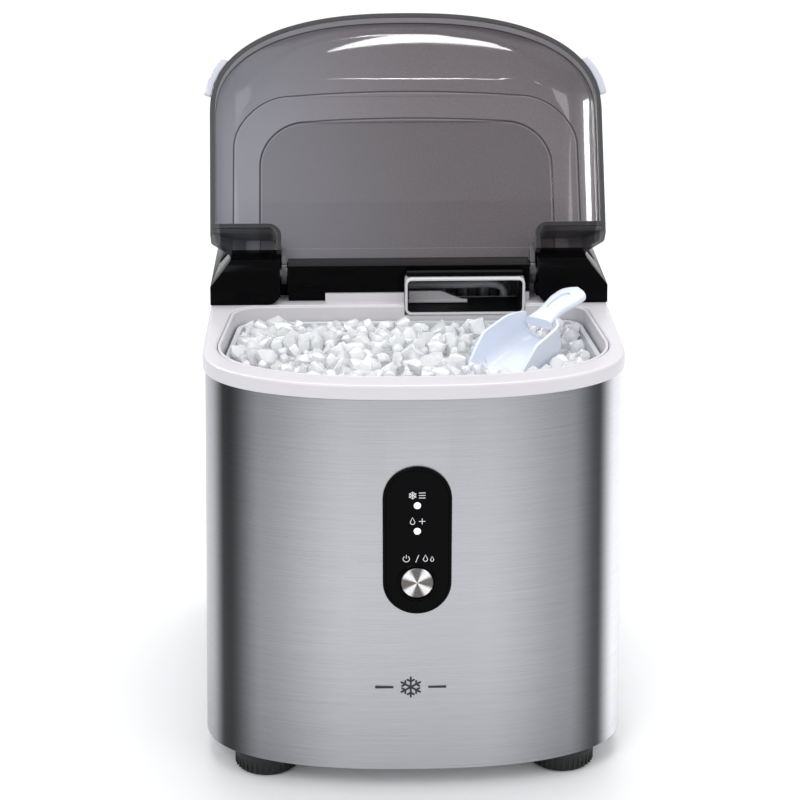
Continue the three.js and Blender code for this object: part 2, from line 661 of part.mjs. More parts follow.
function fanGroup() {
  const { x, z, y, radius } = fan;
  const plate = prismY(roundedRect(x - 50, x + 50, z - 50, z + 50, 6), y - 6, y - 3);
  const collar = rodY(radius + 6, y - 4, y + 9, x, z, 36);
  const mouth = rodY(radius + 3, y - 10, y + 20, x, z, 36);
  const strutSpan = radius + 6;
  const strut = join(
    box(x - strutSpan, x + strutSpan, y + 12, y + 15, z - 5, z + 5),
    box(x - strutSpan, x - strutSpan + 3, y - 4, y + 15, z - 5, z + 5),
    box(x + strutSpan - 3, x + strutSpan, y - 4, y + 15, z - 5, z + 5),
  );
  const shaftHole = rodY(2.6, y + 10, y + 20, x, z, 16);
  add('fan_shroud', cut(join(cut(join(plate, collar), mouth), strut), shaftHole), black);
  const motor = join(rodY(15, y + 18, y + 38, x, z), rodY(10, y + 15.6, y + 19, x, z));
  add('fan_motor', motor, zinc);

  let blades = join(rodY(10, y, y + 10, x, z), rodY(2, y + 9, y + 14.8, x, z, 14));
  const count = 5;
  for (let i = 0; i < count; i++) {
    const blade = new THREE.BoxGeometry(radius - 8, 1.6, 17);
    blade.rotateX(THREE.MathUtils.degToRad(32));
    blade.translate(8 + (radius - 8) / 2, 0, 0);
    blade.rotateY(i / count * Math.PI * 2);
    blades = join(blades, solid(blade.translate(x, y + 4.5, z)));
  }
  add('fan_blade', blades, softWhite);
}

function coldPipes() {
  const { x, y, z1 } = compressor;
  const suction = [
    [84.4, fingerRows[1], 258], [87, fingerRows[1], 258], [94, fingerRows[1], 248],
    [95, fingerRows[1], 195], [70, 64, 172], [10, 82, 168], [x + 18, y, 160], [x + 15, y, z1 + 8],
    [x + 15, y, z1 + 3.4],
  ];
  add('suction_pipe', tube(suction, 3.4, 8, 44), copper);
  const discharge = [
    [x - 10, y, z1 + 3.4], [x - 10, y, z1 + 8], [x - 8, y - 5, z1 + 18], [x + 20, y - 15, z1 + 16],
    [-10, 64, 150], [-4, 64, 140], [1, 64, 138], [4.6, 64, 138],
  ];
  add('discharge_pipe', tube(discharge, 2.8, 8, 38), copper);
  const drier = turned([[0, 156.6], [3.4, 156.6], [3.4, 162], [9, 168], [9, 200], [2.5, 207], [0, 207]], 20, 90, 76);
  add('filter_drier', drier, copper);
  const capillary = [
    [90, 76, 207.4], [90, 76, 212], [102, 62, 228], [105, 44, 246], [96, fingerRows[0], 257],
    [88, fingerRows[0], 258], [84.4, fingerRows[0], 258],
  ];
  add('capillary_tube', tube(capillary, 1.3, 6, 30), copper);
  const valve = join(
    rodZ(11, 178, 204, 40, 100), rodZ(4, 166, 216, 40, 100, 12), box(26, 54, 92, 108, 172, 178),
  );
  add('hot_gas_valve', valve, zinc);
}

// ---------- electronics and front panel ----------
function powerBoard() {
  const face = 64;
  const board = box(-108, -40, face, face + 1.6, 165, 238);
  const parts = join(
    box(-100, -78, 42, face + 0.5, 172, 196), box(-70, -54, 50, face + 0.5, 175, 190),
    box(-70, -54, 50, face + 0.5, 196, 211), rodY(7, 46, face + 0.5, -90, 215, 16),
    box(-62, -50, 56, face + 0.5, 218, 228),
  );
  add('power_board', join(board, parts), boardGreen);
}

const boardFace = -141.6;

function frontPanel() {
  const { halfWidth, z0, z1, face } = panel;
  const plate = prismY(stadium(halfWidth, z0, z1, 14), face, face + 1.5);
  const plug = prismY(stadium(halfWidth - 4.1, z0 + 4.1, z1 - 4.1, 12), face + 1.4, -146.3);
  const buttonHole = rodY(button.radius + 0.4, -160, -140, 0, button.z, 32);
  const ringSeat = rodY(11.6, -160, face + 0.9, 0, button.z, 32);
  const lampHoles = ledHeights.map((z) => rodY(2.3, -160, -140, 0, z, 16));
  add('panel_bezel', cut(join(plate, plug), buttonHole, ringSeat, ...lampHoles), black);

  const trim = cut(rodY(11.3, -152.3, face + 0.6, 0, button.z, 36), rodY(9.8, -160, -140, 0, button.z, 36));
  add('button_ring', trim, lampWhite);
  const key = join(rodY(button.radius, -rearMost, -148.6, 0, button.z, 36), rodY(3, -149, -146.4, 0, button.z, 16));
  add('power_button', key, chrome);
  const switchBody = join(box(-3.5, 3.5, -143.5, boardFace - gap, button.z - 3.5, button.z + 3.5),
    rodY(1.8, -146.4 + button.travel + 0.2, -143, 0, button.z, 12));
  add('button_switch', switchBody, zinc);
  ledHeights.forEach((z, i) => {
    add(`led_lens_${i + 1}`, rodY(2, face - 0.1, boardFace - gap, 0, z, 16), lampWhite);
  });
  const board = join(box(-16, 16, boardFace, -140, 119, 199), box(-8, 8, -140.5, -138, 148, 158));
  add('display_board', board, boardGreen);
}

// ---------- scoop, lying on the ice with its handle to the rear right ----------
const scoop = { tip: [42, -94, 246], yaw: 49.5, pitch: 13.5, length: 92, bowl: 54, width: 40, depth: 18 };

function iceScoop() {
  const { length, bowl, width, depth } = scoop;
  const half = width / 2;
  const wall = 1.8;
  const trough = (shrink) => [
    [-half + shrink, 4], [-half + shrink, -depth + 8], ...arc(-half + 8, -depth + 8, 8 - shrink, 180, 270, 4),
    ...arc(half - 8, -depth + 8, 8 - shrink, 270, 360, 4), [half - shrink, 4],
  ];
  const slopeCut = prismY([[-10, -depth - 2], [-10, 10], [bowl + 1, 10], [bowl + 1, 3], [14, -6], [-1, -depth + 1.5]],
    -reach, reach);
  const bowlBody = cut(prismX(trough(0), 0, bowl), prismX(trough(wall), -1, bowl - wall), slopeCut);
  const handle = prismZ(roundedRect(bowl - 1, length, -8, 8, 6), -3, 3);
  const grip = prismZ(roundedRect(bowl + 6, length - 4, -5, 5, 4), 1.2, 4);
  const mesh = addTo(iceMaker, 'ice_scoop', cut(join(bowlBody, handle), grip), paleBlue);
  mesh.rotation.order = 'ZYX';
  mesh.rotation.z = THREE.MathUtils.degToRad(scoop.yaw);
  mesh.rotation.y = THREE.MathUtils.degToRad(-scoop.pitch);
  mesh.position.set(...scoop.tip);
}

// ---------- assembly ----------
feet();
basePan();
steelWrap();
rearPanel();
rearScrews();
cordGland();
topRim();
innerTub();
iceBasket();
rearDeck();
lidShell();
lidPins();
lidTabs();
windowDuct();
iceChamber();
returnChute();
evaporator();
waterNozzle();
trayMotor();
tiltingTray();
icePusher();
waterCircuit();
iceSensors();
compressorGroup();
condenser();
fanGroup();
coldPipes();
powerBoard();
frontPanel();
iceScoop();

export default iceMaker;
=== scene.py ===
import json
import math
import random
import bmesh
import bpy
from mathutils import Matrix, Vector, kdtree

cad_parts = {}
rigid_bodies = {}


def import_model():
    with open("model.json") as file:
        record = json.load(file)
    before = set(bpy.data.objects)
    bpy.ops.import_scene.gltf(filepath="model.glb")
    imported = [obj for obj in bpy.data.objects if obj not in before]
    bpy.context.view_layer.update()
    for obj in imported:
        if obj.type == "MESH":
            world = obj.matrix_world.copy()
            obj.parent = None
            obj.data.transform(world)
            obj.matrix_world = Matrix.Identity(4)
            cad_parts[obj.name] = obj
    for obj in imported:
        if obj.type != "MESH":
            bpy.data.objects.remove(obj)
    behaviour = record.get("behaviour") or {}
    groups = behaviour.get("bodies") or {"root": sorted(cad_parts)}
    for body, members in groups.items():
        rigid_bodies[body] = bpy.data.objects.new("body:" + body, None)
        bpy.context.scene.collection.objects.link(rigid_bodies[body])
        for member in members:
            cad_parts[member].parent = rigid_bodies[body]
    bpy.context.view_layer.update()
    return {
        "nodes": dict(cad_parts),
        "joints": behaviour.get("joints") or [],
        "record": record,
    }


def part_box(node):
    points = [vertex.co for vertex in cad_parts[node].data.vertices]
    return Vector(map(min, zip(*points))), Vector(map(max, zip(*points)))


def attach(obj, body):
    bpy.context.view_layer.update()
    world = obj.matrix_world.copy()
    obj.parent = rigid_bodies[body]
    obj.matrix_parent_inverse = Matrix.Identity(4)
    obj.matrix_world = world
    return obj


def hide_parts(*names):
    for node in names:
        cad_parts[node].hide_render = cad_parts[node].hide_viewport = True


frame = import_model()
mm = 0.001
print("frame loaded:", len(frame["nodes"]), "nodes")


# shader building

def tone(code, alpha=1.0):
    parts = [int(code[i:i + 2], 16) / 255 for i in (0, 2, 4)]
    linear = [c / 12.92 if c <= 0.04045 else ((c + 0.055) / 1.055) ** 2.4 for c in parts]
    return (*linear, alpha)


def scaled(colour, factor):
    return tuple(min(c * factor, 1.0) for c in colour[:3]) + (1.0,)


class Wire:
    def __init__(self, finish, socket):
        self.finish = finish
        self.socket = socket

    def maths(self, operation, *others):
        values = dict(enumerate((self,) + others))
        return self.finish.node("ShaderNodeMath", {"operation": operation}, values)

    def reflected(self, operation, other):
        return self.finish.node("ShaderNodeMath", {"operation": operation}, {0: other, 1: self})

    def __add__(self, other):
        return self.maths("ADD", other)

    __radd__ = __add__

    def __mul__(self, other):
        return self.maths("MULTIPLY", other)

    __rmul__ = __mul__

    def __sub__(self, other):
        return self.maths("SUBTRACT", other)

    def __rsub__(self, other):
        return self.reflected("SUBTRACT", other)

    def __truediv__(self, other):
        return self.maths("DIVIDE", other)

    def __rtruediv__(self, other):
        return self.reflected("DIVIDE", other)

    def __pow__(self, other):
        return self.maths("POWER", other)

    def __abs__(self):
        return self.maths("ABSOLUTE")


class Finish:
    def __init__(self, name):
        self.material = bpy.data.materials.new(name)
        self.material.use_nodes = True
        self.tree = self.material.node_tree
        self.shader = self.tree.nodes["Principled BSDF"]
        self.place = self.node("ShaderNodeTexCoord", output="Object")

    def put(self, socket, value):
        if isinstance(value, Wire):
            self.tree.links.new(value.socket, socket)
        else:
            socket.default_value = value

    def node(self, kind, settings=None, values=None, output=0):
        made = self.tree.nodes.new(kind)
        for key, value in (settings or {}).items():
            setattr(made, key, value)
        for key, value in (values or {}).items():
            self.put(made.inputs[key], value)
        return Wire(self, made.outputs[output])

    def axes(self, place=None):
        split = self.tree.nodes.new("ShaderNodeSeparateXYZ")
        self.put(split.inputs[0], place or self.place)
        return [Wire(self, output) for output in split.outputs]

    def noise(self, scale, detail=2.0, stretch=(1, 1, 1), roughness=0.5):
        vector = self.node("ShaderNodeMapping", None, {"Vector": self.place, "Scale": stretch})
        values = {"Vector": vector, "Scale": scale, "Detail": detail, "Roughness": roughness}
        return self.node("ShaderNodeTexNoise", None, values)

    def cells(self, scale, output=0):
        return self.node("ShaderNodeTexVoronoi", None, {"Vector": self.place, "Scale": scale}, output)

    def between(self, value, low, high, outLow=0.0, outHigh=1.0):
        values = {0: value, 1: low, 2: high, 3: outLow, 4: outHigh}
        return self.node("ShaderNodeMapRange", {"interpolation_type": "SMOOTHSTEP"}, values)

    def mix(self, factor, first, second, blend="MIX"):
        settings = {"data_type": "RGBA", "blend_type": blend}
        return self.node("ShaderNodeMix", settings, {0: factor, 6: first, 7: second}, output=2)

    def bump(self, height, distance, strength=1.0):
        values = {"Strength": strength, "Distance": distance, "Height": height}
        return self.node("ShaderNodeBump", None, values)

    def shade(self, values):
        for key, value in values.items():
            self.put(self.shader.inputs[key], value)
        return self.material


def moulded(name, colour, roughness, grain=0.02, coat=0.0, texture=900, drift=0.05, extra=None):
    f = Finish(name)
    cloud = f.noise(9, 3)
    fine = f.noise(texture, 2)
    scuffs = f.between(f.noise(60, 4, (1, 1, 5)), 0.62, 0.74)
    base = f.mix(f.between(cloud, 0.3, 0.7), scaled(colour, 1 - drift), scaled(colour, 1 + drift))
    base = f.mix(scuffs * 0.25, base, scaled(colour, 1 - 1.6 * drift))
    gloss = roughness + (cloud - 0.5) * 0.12 + scuffs * 0.07 + (fine - 0.5) * 0.05
    values = {"Base Color": base, "Roughness": gloss, "Coat Weight": coat, "Coat Roughness": 0.08}
    values["Normal"] = f.bump(fine, grain * mm)
    values.update(extra or {})
    return f.shade(values)


def metal(name, colour, roughness, texture=500, stretch=(1, 1, 1), tarnish=None):
    f = Finish(name)
    cloud = f.noise(14, 4)
    fine = f.noise(texture, 3, stretch)
    spots = f.between(f.noise(45, 5), 0.6, 0.75)
    base = f.mix(f.between(cloud, 0.3, 0.7), scaled(colour, 0.88), scaled(colour, 1.08))
    base = f.mix(spots * 0.5, base, tarnish or scaled(colour, 0.7))
    gloss = roughness + (cloud - 0.5) * 0.2 + (fine - 0.5) * 0.12 + spots * 0.1
    return f.shade({"Base Color": base, "Roughness": gloss, "Metallic": 1.0,
                    "Normal": f.bump(fine, 0.02 * mm)})


# mesh building

def newPiece(name, vertices, faces):
    mesh = bpy.data.meshes.new(name)
    mesh.from_pydata([tuple(v) for v in vertices], [], faces)
    mesh.update()
    piece = bpy.data.objects.new(name, mesh)
    bpy.context.scene.collection.objects.link(piece)
    return piece


def smooth(piece, angle=32):
    piece.data.shade_smooth()
    piece.data.set_sharp_from_angle(angle=math.radians(angle))
    return piece


def settle(piece):
    bpy.context.view_layer.update()
    graph = bpy.context.evaluated_depsgraph_get()
    made = bpy.data.meshes.new_from_object(piece.evaluated_get(graph), depsgraph=graph)
    piece.modifiers.clear()
    piece.data = made
    return piece


def drop(*pieces):
    for piece in pieces:
        bpy.data.objects.remove(piece)


def carve(piece, cutter, operation="DIFFERENCE"):
    modifier = piece.modifiers.new("carve", "BOOLEAN")
    modifier.operation = operation
    modifier.solver = "EXACT"
    modifier.object = cutter
    settle(piece)
    drop(cutter)
    return piece


def tidyMesh(piece, distance=0.004 * mm):
    work = bmesh.new()
    work.from_mesh(piece.data)
    bmesh.ops.remove_doubles(work, verts=work.verts, dist=distance)
    bmesh.ops.dissolve_degenerate(work, edges=work.edges, dist=distance)
    bmesh.ops.recalc_face_normals(work, faces=work.faces)
    work.to_mesh(piece.data)
    work.free()
    return piece


def bevelled(piece, width, segments=3, angle=38):
    modifier = piece.modifiers.new("edge", "BEVEL")
    modifier.width = width
    modifier.segments = segments
    modifier.limit_method = "ANGLE"
    modifier.angle_limit = math.radians(angle)
    modifier.miter_outer = "MITER_ARC"
    modifier.harden_normals = False
    settle(piece)
    return piece


def evenNormals(piece, angle):
    work = bmesh.new()
    work.from_mesh(piece.data)
    bmesh.ops.triangulate(work, faces=[face for face in work.faces if len(face.verts) > 4])
    work.to_mesh(piece.data)
    work.free()
    smooth(piece, angle)
    modifier = piece.modifiers.new("normals", "WEIGHTED_NORMAL")
    modifier.weight = 100
    modifier.keep_sharp = True
    return settle(piece)


def loft(name, rings, loopRings=False, openPath=False, capFirst=False, capLast=False):
    count = len(rings[0])
    vertices = [point for ring in rings for point in ring]
    faces = []
    rows = len(rings) if loopRings else len(rings) - 1
    for row in range(rows):
        low = row * count
        high = (row + 1) % len(rings) * count
        for i in range(count - 1 if openPath else count):
            j = (i + 1) % count
            faces.append((low + i, low + j, high + j, high + i))
    if capFirst:
        faces.append(tuple(reversed(range(count))))
    if capLast:
        faces.append(tuple(range(len(vertices) - count, len(vertices))))
    if openPath and loopRings:
        starts = [row * count for row in range(len(rings))]
        faces.append(tuple(starts))
        faces.append(tuple(reversed([start + count - 1 for start in starts])))
    return newPiece(name, vertices, faces)


def offsetPath(points, distance, closed=True):
    count = len(points)
    moved = []
    for i, (x, y) in enumerate(points):
        before = points[i - 1] if closed or i else points[i]
        after = points[(i + 1) % count] if closed or i < count - 1 else points[i]
        tangent = Vector((after[0] - before[0], after[1] - before[1])).normalized()
        moved.append((x - tangent.y * distance, y + tangent.x * distance))
    return moved


def frontCurve(d, steps):
    power = 2 / d["roundness"]
    curve = []
    for i in range(-steps, steps + 1):
        angle = i / steps * math.pi / 2
        side = math.copysign(abs(math.sin(angle)) ** power, i)
        depth = abs(math.cos(angle)) ** power
        curve.append((d["halfWidth"] * side, d["frontY"] + d["cornerDepth"] * (1 - depth)))
    return curve


def outline(d, steps=44, sideSteps=8, cornerSteps=10):
    right = []
    cornerX = d["rearHalfWidth"] - d["rearRadius"]
    cornerY = d["rearY"] - d["rearRadius"]
    startY = d["frontY"] + d["cornerDepth"]
    for i in range(1, sideSteps):
        t = i / sideSteps
        right.append((d["halfWidth"] + (d["rearHalfWidth"] - d["halfWidth"]) * t, startY + (cornerY - startY) * t))
    for i in range(cornerSteps + 1):
        angle = math.pi / 2 * i / cornerSteps
        right.append((cornerX + d["rearRadius"] * math.cos(angle), cornerY + d["rearRadius"] * math.sin(angle)))
    return frontCurve(d, steps) + right + [(-x, y) for x, y in reversed(right)]


def roundCorners(profile, radii, steps=4):
    rounded = []
    count = len(profile)
    for i, point in enumerate(profile):
        radius = radii[i] if isinstance(radii, (list, tuple)) else radii
        here = Vector(point)
        if radius <= 0:
            rounded.append(tuple(here))
            continue
        towards = [(Vector(profile[i - 1]) - here), (Vector(profile[(i + 1) % count]) - here)]
        ends = [here + t.normalized() * min(radius, t.length * 0.48) for t in towards]
        for k in range(steps + 1):
            t = k / steps
            rounded.append(tuple(ends[0] * (1 - t) ** 2 + here * 2 * t * (1 - t) + ends[1] * t ** 2))
    return rounded


def wallPiece(name, path, profile, openPath=False, place=None):
    rings = []
    for inset, z in profile:
        ring = offsetPath(path, inset, not openPath)
        rings.append([place(x, y, z) if place else (x, y, z) for x, y in ring])
    return loft(name, rings, loopRings=True, openPath=openPath)


def boxPiece(name, low, high):
    rings = [[(low[0], low[1], z), (high[0], low[1], z), (high[0], high[1], z), (low[0], high[1], z)]
             for z in (low[2], high[2])]
    return loft(name, rings, capFirst=True, capLast=True)


def lathe(name, profile, centre, axis="Z", steps=48, sharp=32):
    rings = []
    for radius, height in profile:
        ring = []
        for i in range(steps):
            angle = math.tau * i / steps
            u, v = radius * math.cos(angle), radius * math.sin(angle)
            spot = {"Z": (u, v, height), "Y": (u, height, -v), "X": (height, u, v)}[axis]
            ring.append(Vector(spot) + Vector(centre))
        rings.append(ring)
    solid = profile[0] != profile[-1]
    piece = loft(name, rings, capFirst=solid, capLast=solid)
    tidyMesh(piece)
    return smooth(piece, sharp)


def prism(name, points, y0, y1):
    rings = [[(x, y0, z) for x, z in points], [(x, y1, z) for x, z in points]]
    piece = loft(name, rings, capFirst=True, capLast=True)
    return tidyMesh(piece)


def cadCopy(name, node, width=0.0, segments=2, angle=38, soften=32):
    source = frame["nodes"][node]
    piece = bpy.data.objects.new(name, source.data.copy())
    bpy.context.scene.collection.objects.link(piece)
    piece.data.materials.clear()
    work = bmesh.new()
    work.from_mesh(piece.data)
    bmesh.ops.remove_doubles(work, verts=work.verts, dist=0.002 * mm)
    bmesh.ops.dissolve_limit(work, angle_limit=math.radians(0.4), verts=work.verts, edges=work.edges)
    work.to_mesh(piece.data)
    work.free()
    if width:
        bevelled(piece, width, segments, angle)
    return smooth(piece, soften)


def ready(piece, body, slot, material, *nodes):
    piece.data.materials.clear()
    piece.data.materials.append(material)
    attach(piece, body)
    if nodes:
        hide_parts(*nodes)
    return piece


# geometry nodes building

class Growth:
    def __init__(self, name, sizes):
        self.tree = bpy.data.node_groups.new(name, "GeometryNodeTree")
        self.tree.is_modifier = True
        face = self.tree.interface
        face.new_socket("Geometry", in_out="INPUT", socket_type="NodeSocketGeometry")
        self.kinds = {}
        for key, kind in sizes.items():
            self.kinds[key] = face.new_socket(key, in_out="INPUT", socket_type="NodeSocket" + kind).identifier
        face.new_socket("Geometry", in_out="OUTPUT", socket_type="NodeSocketGeometry")
        self.source = self.tree.nodes.new("NodeGroupInput")
        self.result = self.tree.nodes.new("NodeGroupOutput")

    def given(self, key):
        return self.source.outputs[key]

    def node(self, kind, settings=None, values=None, output=0):
        made = self.tree.nodes.new(kind)
        for key, value in (settings or {}).items():
            setattr(made, key, value)
        for key, value in (values or {}).items():
            if isinstance(value, bpy.types.NodeSocket):
                self.tree.links.new(value, made.inputs[key])
            else:
                made.inputs[key].default_value = value
        return made.outputs[output]

    def close(self, geometry):
        plain = self.node("GeometryNodeRealizeInstances", None, {0: geometry})
        coated = self.node("GeometryNodeSetMaterial", None, {"Geometry": plain, "Material": self.given("Material")})
        self.tree.links.new(coated, self.result.inputs[0])

    def grow(self, name, seedMesh, values):
        modifier = seedMesh.modifiers.new("grow", "NODES")
        modifier.node_group = self.tree
        for key, value in values.items():
            modifier[self.kinds[key]] = value
        seedMesh.name = name
        return settle(seedMesh)


def repeater():
    g = Growth("repeatShape", {"Shape": "Object", "Scale": "Float", "Turn": "Vector", "Material": "Material"})
    shape = g.node("GeometryNodeObjectInfo", None, {"Object": g.given("Shape"), "As Instance": True}, "Geometry")
    values = {"Points": g.given("Geometry"), "Instance": shape, "Rotation": g.given("Turn"), "Scale": g.given("Scale")}
    g.close(g.node("GeometryNodeInstanceOnPoints", None, values))
    return g


def circler():
    sizes = {"Shape": "Object", "Count": "Int", "Radius": "Float", "Material": "Material"}
    g = Growth("circleOfShapes", sizes)
    circle = g.node("GeometryNodeMeshCircle", None, {"Vertices": g.given("Count"), "Radius": g.given("Radius")})
    shape = g.node("GeometryNodeObjectInfo", None, {"Object": g.given("Shape"), "As Instance": True}, "Geometry")
    index = g.node("GeometryNodeInputIndex")
    part = g.node("ShaderNodeMath", {"operation": "DIVIDE"}, {0: index, 1: g.given("Count")})
    angle = g.node("ShaderNodeMath", {"operation": "MULTIPLY"}, {0: part, 1: math.tau})
    turn = g.node("ShaderNodeCombineXYZ", None, {"Z": angle})
    values = {"Points": circle, "Instance": shape, "Rotation": turn}
    g.close(g.node("GeometryNodeInstanceOnPoints", None, values))
    return g


repeatTree = repeater()
circleTree = circler()


def repeated(name, shape, points, material, scale=1.0, turn=(0, 0, 0)):
    seeds = newPiece(name, points, [])
    values = {"Shape": shape, "Scale": scale, "Turn": turn, "Material": material}
    return repeatTree.grow(name, seeds, values)


def ringOf(name, shape, count, radius, material, move):
    seeds = newPiece(name, [(0, 0, 0)], [])
    values = {"Shape": shape, "Count": count, "Radius": radius, "Material": material}
    piece = circleTree.grow(name, seeds, values)
    piece.data.transform(move)
    return piece


def joined(piece, *others):
    work = bmesh.new()
    work.from_mesh(piece.data)
    for other in others:
        work.from_mesh(other.data)
    work.to_mesh(piece.data)
    work.free()
    drop(*others)
    return piece


# outlines shared by the rim, tub, lid and steel

rimLow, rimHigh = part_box("top_rim")
tubLow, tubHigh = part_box("inner_tub")
steelLow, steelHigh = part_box("steel_wrap")
deckLow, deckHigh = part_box("rear_deck")
panelLow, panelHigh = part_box("panel_bezel")
rimTop = tubHigh.z + 0.3 * mm

bodyPlan = {
    "halfWidth": rimHigh.x, "rearHalfWidth": rimHigh.x - 2 * mm, "frontY": rimLow.y, "rearY": rimHigh.y,
    "cornerDepth": 67 * mm, "roundness": 2.4, "rearRadius": 20 * mm,
}
wellPlan = {
    "halfWidth": tubHigh.x, "rearHalfWidth": tubHigh.x - 5 * mm, "frontY": tubLow.y, "rearY": tubHigh.y,
    "cornerDepth": 60.5 * mm, "roundness": 2.4, "rearRadius": 18 * mm,
}
bodyPath = outline(bodyPlan)
wellPath = outline(wellPlan)
joints = {joint["name"]: joint for joint in frame["joints"]}


# the lid's hinge and shape

hingeAt = Vector(joints["lid_hinge"]["pos_m"])
openAngle = math.radians(joints["lid_hinge"]["range_deg"][1])
swingOpen = Matrix.Translation(hingeAt) @ Matrix.Rotation(-openAngle, 4, "X") @ Matrix.Translation(-hingeAt)

lidShape = {
    "bottom": deckLow.z, "knee": rimTop + 11 * mm, "top": deckHigh.z, "lean": 12.4 * mm, "wall": 3 * mm,
    "plate": 3.4 * mm, "slopeY": -108.5 * mm, "rise": 10.4 / 39, "endLow": -4 * mm, "endHigh": 1 * mm,
    "ribBend": 8 * mm, "sideX": rimHigh.x, "sideFillet": 14 * mm, "tabHalf": 77.5 * mm, "tabWall": 3 * mm, "tabEnd": 6.2 * mm, "bulkheadY": -11.2 * mm, "bulkhead": 2.6 * mm,
    "outerContour": (107.5 * mm, -107.9 * mm, 33 * mm), "innerContour": (91.3 * mm, -89.6 * mm, 27 * mm),
    "emboss": 0.5 * mm, "recess": 0.8 * mm, "points": 181, "columns": 16,
}
contourArch = 0.55  # per metre, how far a contour's front bows back


# finishes

whitePlastic = moulded("whitePlastic", tone("d2cfd2"), 0.32, 0.012, 0.2, drift=0.02)
offWhite = moulded("offWhitePlastic", tone("d8d9da"), 0.5, 0.05, 0.0, drift=0.03)
lowGloss = {"Specular IOR Level": 0.05}
blackGloss = moulded("blackGlossPlastic", tone("040405"), 0.2, 0.004, 0.0, 600, 0.12, extra=lowGloss)
blackSatin = moulded("blackSatinPlastic", tone("0e0f10"), 0.42, 0.04, 0.0, 1200, 0.12, extra=lowGloss)
rubber = moulded("rubber", tone("1d1d1d"), 0.7, 0.08, 0.0, 1500, 0.15)
zinc = metal("zincSteel", tone("a9acae"), 0.38, 700)
copper = metal("copperPipe", tone("b8724c"), 0.3, 500, (1, 1, 1), tone("6b4a36"))
aluminium = metal("aluminium", tone("c4c7c9"), 0.36, 900, (1, 1, 12))
hosePlastic = moulded("hosePlastic", tone("c8cbc4"), 0.35, 0.01, 0.2, 400, 0.05)
paintedBlack = moulded("paintedShell", tone("1b1c1e"), 0.38, 0.06, 0.15, 500, 0.15)
scoopPlastic = moulded("scoopPlastic", tone("dce2ee"), 0.32, 0.015, 0.2, 500, 0.03)


def steelFinish():
    # tones of the reflections painted across the steel's front: a pale middle, darker sides, a dark and a pale band
    # near the left edge, and a dark band with a bright painted glint near the right edge
    d = {"middle": tone("bebec0"), "side": tone("8c8c8e"), "leftDarkReflection": tone("343435"),
         "leftEdgeReflection": tone("b0b0b2"), "rightDarkReflection": tone("464648"), "rightEdgeGlint": tone("fcfcfd"),
         "sideReflectionFade": (0.3, 0.8), "lift": 1.17, "roughness": 0.3, "tint": tone("fbfcff"), "inset": 1.5 * mm,
         "paintedReflections": {"leftDarkReflection": (-0.72, -0.88), "leftEdgeReflection": (-0.9, -0.97),
                   "rightDarkReflection": (0.72, 0.86), "rightEdgeGlint": (0.86, 0.95)}}
    f = Finish("brushedSteelPaintedReflections")
    x, _, z = f.axes()
    top = rimHigh.x - d["inset"]
    spread = (steelHigh.x - top) / (steelHigh.z - steelLow.z)
    across = x / (top + (steelHigh.z - z) * spread)  # -1 at the left edge, 1 at the right
    middle, side = (scaled(d[name], d["lift"]) for name in ("middle", "side"))
    # painted reflections: the studio's reflections in the steel are painted into its colour by position across the
    # front
    paintedReflections = f.mix(f.between(abs(across), *d["sideReflectionFade"]), middle, side)
    for name, (start, end) in d["paintedReflections"].items():
        paintedReflections = f.mix(f.between(across, start, end), paintedReflections, scaled(d[name], d["lift"]))
    long = f.noise(1, 4, (5, 5, 2600), 0.65)
    short = f.noise(1, 3, (26, 26, 3600), 0.7)
    cloud = f.noise(4, 3)
    streak = f.mix(long, tone("dadada"), tone("ffffff"))
    streak = f.mix(f.between(short, 0.3, 0.75) * 0.3, streak, tone("bcbcbe"))
    base = f.mix(1.0, paintedReflections, streak, "MULTIPLY")
    base = f.mix(1.0, base, d["tint"], "MULTIPLY")
    gloss = d["roughness"] + (long - 0.5) * 0.25 + (cloud - 0.5) * 0.08
    height = long * 0.6 + short * 0.4
    return f.shade({"Base Color": base, "Metallic": 1.0, "Roughness": gloss, "Anisotropic": 0.6,
                    "Anisotropic Rotation": 0.25, "Normal": f.bump(height, 0.012 * mm, 0.6)})


